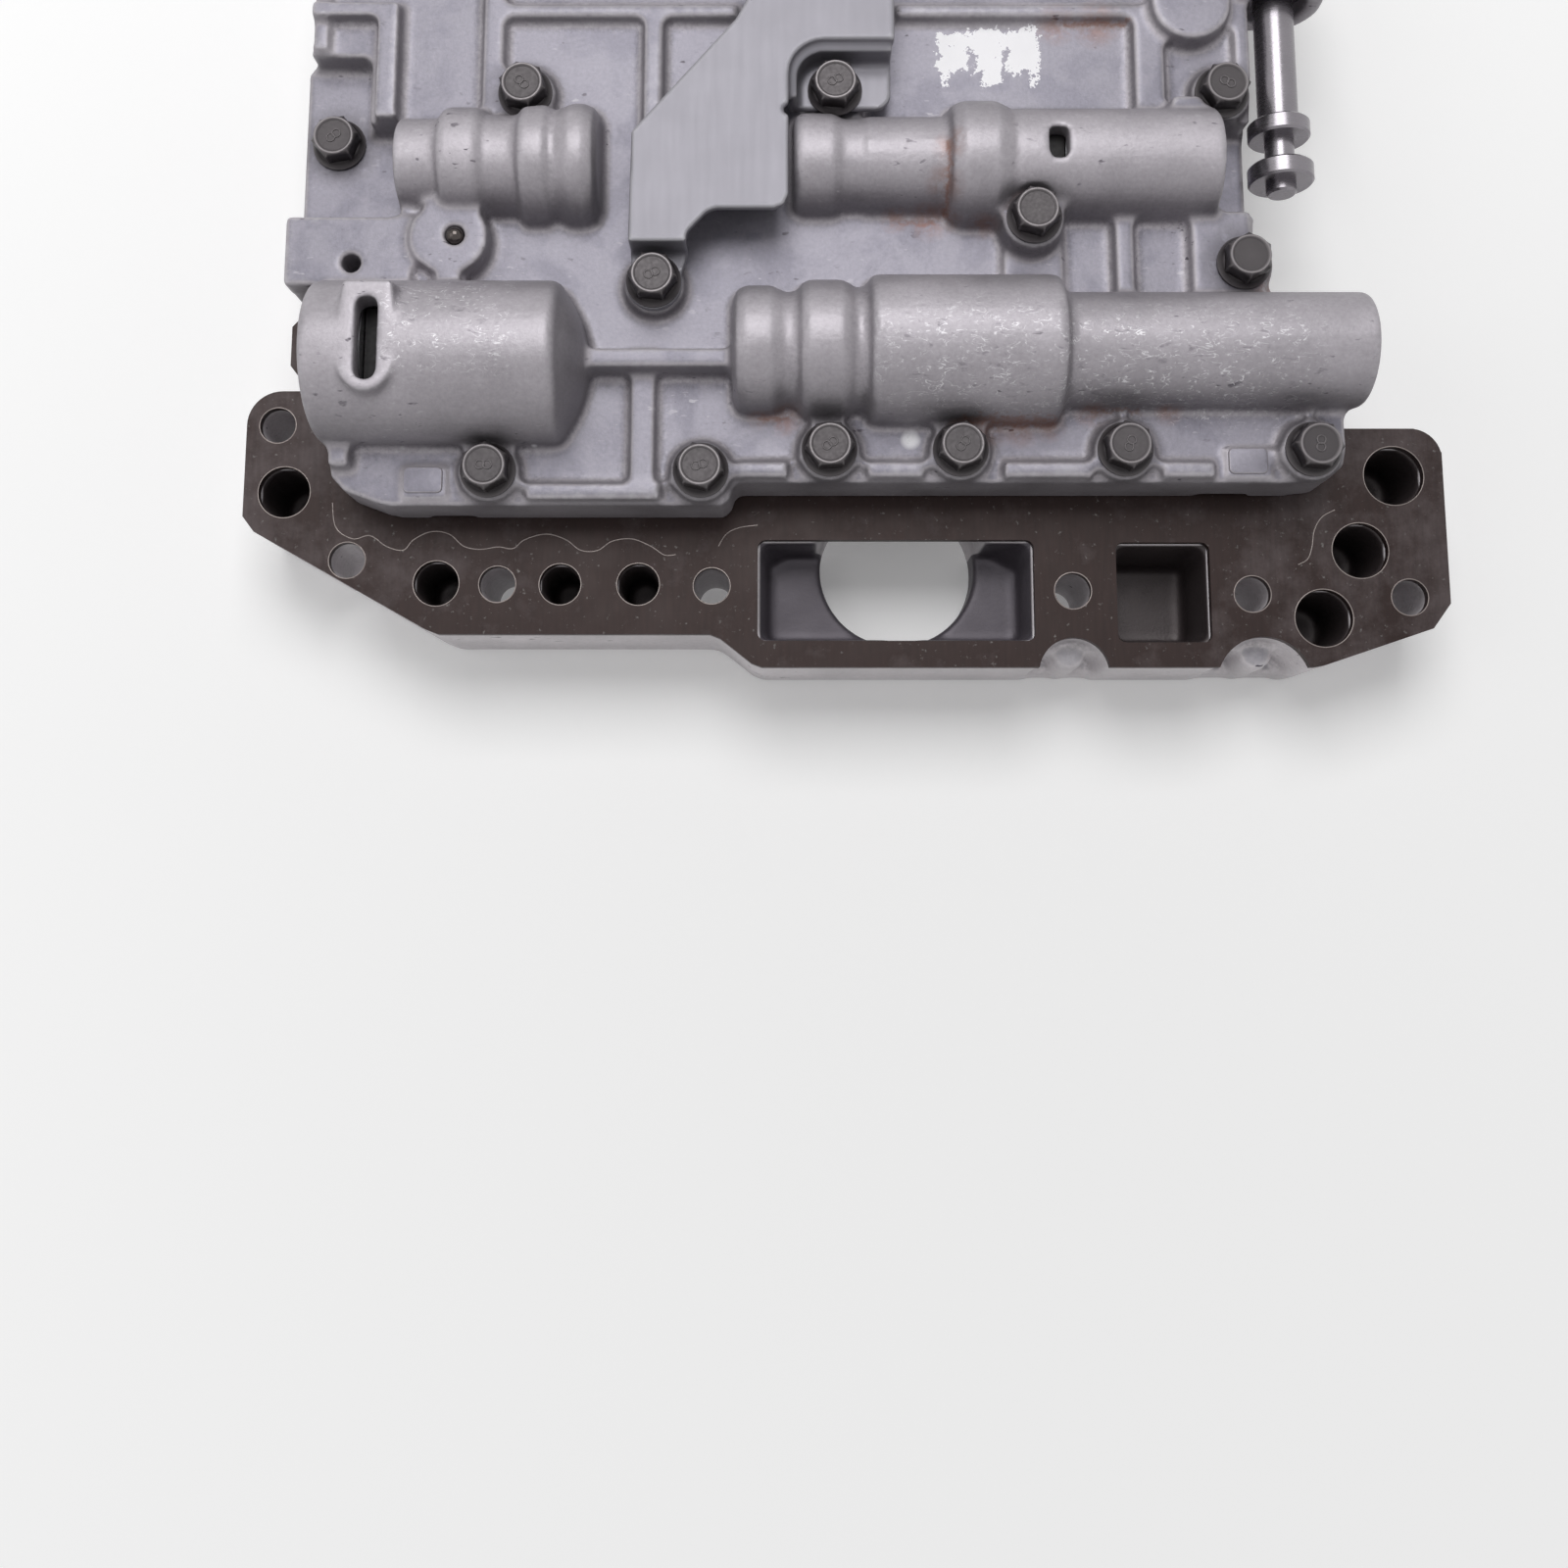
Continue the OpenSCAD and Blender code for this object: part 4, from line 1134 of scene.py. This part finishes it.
@dataclass
class FlangePads:
    """Square pads on the upper casting's front flange, raised with a crisp outline, in mm."""

    seats: tuple[tuple[float, float, float], ...]
    name: str = "flange_pads"
    wide: float = 9.2
    deep: float = 6.2
    corner: float = 1.3
    high: float = 1.1
    bevel: float = 0.35

    def _tree(self) -> Tree:
        """Builds the tree that sets a rounded pad on every seat.

        Returns:
            The tree.
        """
        kinds = {"Seats": "Geometry", "Wide": "Float", "Deep": "Float", "Corner": "Float", "High": "Float"}
        tree, given = start_tree(self.name, "Pads", {**kinds, "Finish": "Material"})
        size = {"Width": given.outputs["Wide"], "Height": given.outputs["Deep"]}
        outline = add(tree, "GeometryNodeCurvePrimitiveQuadrilateral", size)
        corner = {"Curve": outline, "Radius": given.outputs["Corner"], "Count": 6}
        outline = add(tree, "GeometryNodeFilletCurve", corner, mode="POLY")
        top = add(tree, "GeometryNodeFillCurve", {"Curve": outline}, mode="NGONS")
        rise = {"Mesh": top, "Offset Scale": given.outputs["High"], "Individual": False}
        rise = add(tree, "GeometryNodeExtrudeMesh", rise)
        links = {"Points": given.outputs["Seats"], "Instance": rise}
        return end_tree(tree, given, add(tree, "GeometryNodeInstanceOnPoints", links))

    def build(self, material: Material) -> Object:
        """Makes the pads as one piece.

        Args:
            material: their finish.

        Returns:
            The piece.
        """
        mesh = bpy.data.meshes.new(self.name + "_maker")
        mesh.from_pydata([spot(*seat) for seat in self.seats], [], [])
        maker = linked(self.name + "_maker", mesh)
        sizes = {"Wide": self.wide, "Deep": self.deep, "Corner": self.corner, "High": self.high}
        run_tree(maker, self._tree(), {**{k: v * MM for k, v in sizes.items()}, "Finish": material})
        soft = maker.modifiers.new("soft", "BEVEL")
        soft.width = self.bevel * MM
        soft.segments = 3
        soft.angle_limit = math.radians(50)
        mesh = flatten(maker, self.name)
        mesh.shade_smooth()
        mesh.set_sharp_from_angle(angle=math.radians(60))
        return place(self.name, mesh, Slot.CAST)


@dataclass
class CoilSpring:
    """A coil spring along X between a fixed end and a valve, in mm."""

    node: str
    body: str
    axis: tuple[float, float]
    fixed: float
    moving: float
    radius: float
    wire: float
    turns: float

    def _tree(self) -> Tree:
        """Builds the tree that winds the wire.

        Returns:
            The tree.
        """
        kinds = {"Turns": "Float", "Radius": "Float", "Length": "Float", "Wire": "Float", "Start": "Vector"}
        tree, given = start_tree(self.node + "_coil", "Coil", {**kinds, "Finish": "Material"})
        got = given.outputs
        size = {"Start Radius": got["Radius"], "End Radius": got["Radius"], "Height": got["Length"]}
        helix = add(tree, "GeometryNodeCurveSpiral", {"Resolution": 28, "Rotations": got["Turns"], **size})
        section = add(tree, "GeometryNodeCurvePrimitiveCircle", {"Resolution": 10, "Radius": got["Wire"]})
        links = {"Curve": helix, "Profile Curve": section, "Fill Caps": True}
        wire = add(tree, "GeometryNodeCurveToMesh", links)
        lie = {"Geometry": wire, "Translation": got["Start"], "Rotation": (0.0, math.pi / 2, 0.0)}
        return end_tree(tree, given, add(tree, "GeometryNodeTransform", lie))

    def build(self, material: Material) -> Object:
        """Winds the spring.

        Args:
            material: its finish.

        Returns:
            The piece.
        """
        low, high = min(self.fixed, self.moving), max(self.fixed, self.moving)
        maker = linked(self.node + "_maker", bpy.data.meshes.new(self.node + "_maker"))
        sizes = {"Radius": self.radius, "Length": high - low - 2 * self.wire, "Wire": self.wire}
        values = {**{k: v * MM for k, v in sizes.items()}, "Turns": self.turns, "Finish": material}
        run_tree(maker, self._tree(), {**values, "Start": spot(low + self.wire, *self.axis)})
        mesh = flatten(maker, self.node + "_wire")
        mesh.shade_smooth()
        obj = linked(self.node + "_wire", mesh)
        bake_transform(obj)
        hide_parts(self.node)
        log.info("%s: %d faces", obj.name, len(mesh.polygons))
        return obj


@dataclass
class Studio:
    """Pale floor, soft lamps and a camera that looks down on the part from the front, in metres."""

    eye: tuple[float, float, float] = (-0.0146, -0.1468, 0.386)
    tilt: float = 8.0
    lens: float = 34.4
    # moves the part to the top of the frame, where the photograph cuts it
    rise: float = -0.09
    # half the floor's side
    reach: float = 6.0
    # strength of the sky's light on matt surfaces
    sky: float = 0.24

    def floor(self) -> None:
        """Lays a wide pale floor under the part."""
        mesh = bpy.data.meshes.new("studio_floor")
        r = self.reach
        mesh.from_pydata([(-r, -r, 0), (r, -r, 0), (r, r, 0), (-r, r, 0)], [], [(0, 1, 2, 3)])
        obj = linked("studio_floor", mesh)
        material, tree, shader = blank("studio_paper")
        # painted light: the paper glows more the further it lies from the part, so it stays pale to the horizon
        co = add(tree, "ShaderNodeTexCoord").outputs["Object"]
        far = add(tree, "ShaderNodeVectorMath", {0: co}, operation="LENGTH").outputs["Value"]
        glow = add(tree, "ShaderNodeMapRange", dict(zip(RAMP, (far, 0.1, 1.3, 0.16, 0.78))))
        fill(tree, shader, {"Base Color": linear("#f4f4f4"), "Roughness": 0.9, "Specular IOR Level": 0.0})
        fill(tree, shader, {"Emission Color": linear("#ffffff"), "Emission Strength": glow})
        mesh.materials.append(material)

    def world(self) -> None:
        """Sets a soft sky that is white to the eye and in reflections."""
        world = bpy.data.worlds.new("studio_sky")
        world.use_nodes = True
        tree = world.node_tree
        tree.nodes.clear()
        path = add(tree, "ShaderNodeLightPath").outputs
        seen: Input = path["Is Camera Ray"]
        for ray in ("Is Glossy Ray", "Is Transmission Ray"):
            seen = add(tree, "ShaderNodeMath", {0: seen, 1: path[ray]}, operation="MAXIMUM")
        dim = add(tree, "ShaderNodeBackground", {"Color": linear("#ffffff"), "Strength": self.sky})
        white = add(tree, "ShaderNodeBackground", {"Color": linear("#ffffff"), "Strength": 1.0})
        mix = add(tree, "ShaderNodeMixShader", {0: seen, 1: dim, 2: white})
        add(tree, "ShaderNodeOutputWorld", {"Surface": mix})
        bpy.context.scene.world = world

    def lamps(self) -> None:
        """Hangs a large key lamp behind the part and a weaker one at the left."""
        for name, where, size, power in (
            ("key", (-0.05, 0.4, 0.92), 0.6, 6.0),
            ("fill", (-0.7, 0.0, 0.8), 0.6, 1.0),
        ):
            light = bpy.data.lights.new("studio_" + name, "AREA")
            light.size = size
            light.energy = power
            lamp = bpy.data.objects.new("studio_" + name, light)
            lamp.location = where
            lamp.rotation_euler = (-Vector(where)).to_track_quat("-Z", "Y").to_euler()
            bpy.context.scene.collection.objects.link(lamp)

    def camera(self) -> None:
        """Sets the camera at the photograph's place."""
        data = bpy.data.cameras.new("studio_camera")
        data.lens = self.lens
        data.sensor_width = 36.0
        data.shift_y = self.rise
        data.clip_start = 0.01
        eye = bpy.data.objects.new("studio_camera", data)
        eye.location = self.eye
        eye.rotation_euler = (math.radians(self.tilt), 0.0, 0.0)
        bpy.context.scene.collection.objects.link(eye)
        bpy.context.scene.camera = eye
        bpy.context.scene.view_settings.view_transform = "Standard"

    def build(self) -> None:
        """Sets up floor, sky, lamps and camera."""
        self.floor()
        self.world()
        self.lamps()
        self.camera()
        log.info("studio is set")


@dataclass
class InnerParts:
    """The plate, and the turned and pressed pieces inside, which keep their solids and get their finish."""

    finishes: dict[Metal | OiledPlate, tuple[str, ...]] = field(
        default_factory=lambda: {
            OiledPlate(): ("separator_plate",),
            GROUND_STEEL: ("manual_valve",),
            BALL_STEEL: ("ball_plug", "check_balls", "dowels"),
            TURNED: (
                "relay_spool", "shift_spool", "reg_spool", "acc_piston", "relay_plug", "shift_plug", "acc_cover",
                "reg_plug", "reg_sleeve",
            ),
            WIRE: ("relay_ring", "reg_ring"),
            KEY_STEEL_IN_SHADE: ("shift_key", "acc_key"),
            RUBBER: ("acc_seal_front", "acc_seal_rear"),
        }
    )

    def dress(self) -> None:
        """Gives each solid its material."""
        for finish, nodes in self.finishes.items():
            material = finish.material()
            for node in nodes:
                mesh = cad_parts[node].data
                mesh.materials.clear()
                mesh.materials.append(material)
                log.info("%s: %s", node, finish.name)


BODY_SEATS = (
    (-83.5, 44, Z_RIM, 0, True), (-34, 44, Z_RIM, 17, True), (-4, 49, Z_RIM, 34, True),
    (26.6, 49, Z_RIM, 51, True), (65, 49, Z_RIM, 68, True), (108.8, 49, Z_RIM, 85, True),
    (44.2, 103.8, Z_HIGH, 15, False), (94.6, 94.5, Z_RIM, 119, False), (-77, 137.5, Z_RIM, 136, True),
    (91, 137.5, Z_RIM, 153, True), (-110, 192, Z_RIM, 170, True), (-20, 192, Z_RIM, 187, True),
    (78, 192, Z_RIM, 204, True), (-124.4, 129, Z_SHELF, 40, True),
)
BRACKET_SEATS = ((-2.4, 137, Z_RIM + 2, 25, True), (-45.3, 89.2, Z_RIM + 2, 25, True))
# painted shadow and oily dirt round each bolt seat
BOLT_SHADOW_AND_GRIME = tuple((x, y, z, 11.5) for x, y, z, _, _ in BODY_SEATS + BRACKET_SEATS)
RUST = (
    (24.2, 119.3, 57, 5), (24, 112, 52, 6), (24.5, 106.5, 46, 5), (33, 105, 46, 5), (41, 107, 48, 6),
    (20.2, 106.5, 44, 6), (12, 106.5, 44, 4), (-14.6, 57.2, 44, 5), (-20, 58, 44, 4), (27, 55.5, 45, 5),
    (34, 55.2, 45, 6), (41, 55.2, 45, 6), (48, 55.6, 45, 5), (58, 59.2, 44, 5), (76, 59, 44, 4), (52, 157, 43, 6),
    (62, 157, 43, 7), (100, 87.6, 45, 5), (104, 88, 44, 5),
)
STREAKS = (
    (26.5, 54.8, 49.8, 56.2), (-21, 56.6, -12.5, 57.8), (12, 105, 22.5, 106.2), (23.2, 106, 24.6, 121),
    (53, 156, 70, 157.6), (57, 58.2, 70, 59.2),
)
CRACKLED = ((4, 54, 112, 82), (-110, 58, -72, 90))
CHIPS = ((15.2, 52.2, 43.3, 2.6), (-78.6, 50.2, 44.5, 1.2), (-73.2, 50.8, 44.5, 1.0))
# three strokes that touch at the top, with drips
PAINT = (
    (22.8, 144.8, 30.6, 154.4), (32, 144.2, 39, 155.8), (40.2, 144.6, 48, 156), (34, 141, 38.4, 147),
    (23.4, 141.6, 25.4, 146), (45, 140.4, 47, 146), (26, 150.4, 45, 155),
)
# holes in the plate as x, y, radius: oil ports, and holes for the bolts that hold it to the case
PORTS = (
    (-136.6, 43, 6.3), (-98.8, 20.4, 5.5), (-68.8, 20.2, 5.0), (-49.9, 20.2, 5.1), (134.4, 47.1, 7.3),
    (125.3, 28.5, 6.8), (115.7, 11.9, 7.0),
)
CASE_HOLES = (
    (-138.9, 59.8, 4.4), (-120.6, 26.1, 4.4), (-84, 20.2, 4.4), (-32.1, 19.8, 4.4), (55.3, 18.6, 4.4),
    (98.7, 17.8, 4.4), (136.7, 17, 4.4),
)
# the rims are rubbed steel and also a painted highlight on the holes' edges
RIMS = tuple((x, y, r + 0.1) for x, y, r in PORTS + CASE_HOLES)
POCKET = (66, 6, 88.6, 30.4)
WINDOW = (-20.6, 6.6, 45.8, 31)
# painted shade and oil in the ports and the pocket
WELLS = tuple((x - r, y - r, x + r, y + r) for x, y, r in PORTS) + (POCKET,)
# the gasket's print: a long scalloped line and two short ones
PRINTS = (
    (
        (-124.7, 40.4), (-123.6, 34.2), (-119.4, 31.4), (-115.2, 32.2), (-111.1, 29.5), (-107, 28.6), (-104.6, 31.2),
        (-100.4, 33.2), (-96, 32.6), (-92.4, 29.6), (-88.4, 28.8), (-84, 29.4), (-80.4, 29), (-77.6, 31.2),
        (-72.4, 32.6), (-67.6, 31.2), (-64, 28.6), (-59.9, 28.5), (-56.4, 30.8), (-51.6, 31.4), (-47, 29.6),
        (-43.6, 27.4), (-40.9, 27.5),
    ),
    ((-30.5, 29.6), (-28.6, 32.6), (-25.4, 34.2), (-21, 34.8)),
    ((119.6, 38.6), (116.4, 36.8), (114.4, 33.6), (113.6, 29.4), (112.4, 26.4), (110, 25)),
)
# the two key slots, the plain hole in the left pad and the ball plug's hole
UPPER_CUTS = (
    Cut(47.4, 116.3, 51.8, 124, 44, 70, 1.4), Cut(-110.1, 60, -105.5, 79, 47, 70, 1.8),
    Cut(-119.2, 91.8, -114.8, 96.2, 37, 50, 2.2), Cut(-94.62, 97.78, -89.98, 102.42, 46.6, 56, 2.32),
)
# the pit between the ball plug's boss and the accumulator, and the accumulator's round end
UPPER_FILLS = (
    Cut(-106, 87, -96.5, 95.5, Z_SEAT, Z_RIM, 2.0),
    Dome(
        (69.5, 47.0),
        (
            (-68.2, 19.0), (-67.2, 18.7), (-66.4, 18.1), (-65.8, 17.2), (-65.4, 16.3), (-64.6, 15.0), (-63.5, 13.0),
            (-62.6, 11.0), (-61.9, 9.0), (-61.0, 5.5), (-60.3, 2.0), (-60.1, 0.0),
        ),
        Z_SEAT,
    ),
)
PAD_SEATS = ((-99.1, 42.2, Z_DECK + 0.5), (94.2, 46.8, Z_DECK + 0.5))
UPPER_SKIN = CastSkin(
    rust_at=RUST, streak_at=STREAKS, crackle_at=CRACKLED, chip_at=CHIPS, paint_at=PAINT, bolt_shadow_and_grime_at=BOLT_SHADOW_AND_GRIME
)
# painted light: the lower casting's skin and flats are lighter than the upper one's, to lift its faces that lie in
# shade
LOWER_SKIN = CastSkin(
    name="die_cast_aluminium_lower", skin="#c8c3c6", flat="#a6a3a8", side=1.0, oil_and_shade="#3c3536", soot_and_shade="#504b52",
    well_at=WELLS, shade_at=(WINDOW,),
)
SPRINGS = (
    CoilSpring("relay_spring", "relay", (119.3, 44), -97.5, -83, 5.2, 0.7, 6),
    CoilSpring("shift_spring", "shift", (119.5, 44), 44, 20.5, 6.2, 0.8, 8),
    CoilSpring("acc_spring", "accumulator", (69.5, 47), -103, -76, 8.6, 1.3, 7),
    CoilSpring("reg_spring", "regulator", (73, 46), 62, 25, 7.4, 1.1, 9),
)


def main() -> None:
    """Builds the pieces in order, then the studio."""
    logging.basicConfig(level=logging.INFO, format="%(name)s: %(message)s")
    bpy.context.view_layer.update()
    upper, lower = UPPER_SKIN.material(), LOWER_SKIN.material()
    SoftPiece("upper_body", Slot.CAST, 0.5, 1.6, 0.55, 195000, UPPER_CUTS, UPPER_FILLS).build(upper)
    FlangePads(PAD_SEATS).build(upper)
    SoftPiece("lower_body", Slot.CAST, 0.7, 1.2, 0.6, 150000).build(lower)
    SoftPiece("bracket", Slot.BRACKET, 0.3, 1.4, 0.4, 60000).build(BRACKET_SHEET.material())
    PlateMarks(PRINTS, RIMS).build(SCRAPED_AND_HIGHLIT.material())
    bolts = BOLT_BLACK.material()
    FlangeBolts("flange_bolts", "body_bolts", 30.0, BODY_SEATS).build(bolts)
    FlangeBolts("bracket_flange_bolts", "bracket_bolts", 14.0, BRACKET_SEATS).build(bolts)
    wire = WIRE.material()
    for spring in SPRINGS:
        spring.build(wire)
    InnerParts().dress()
    Studio().build()


if __name__ == "__main__":
    main()
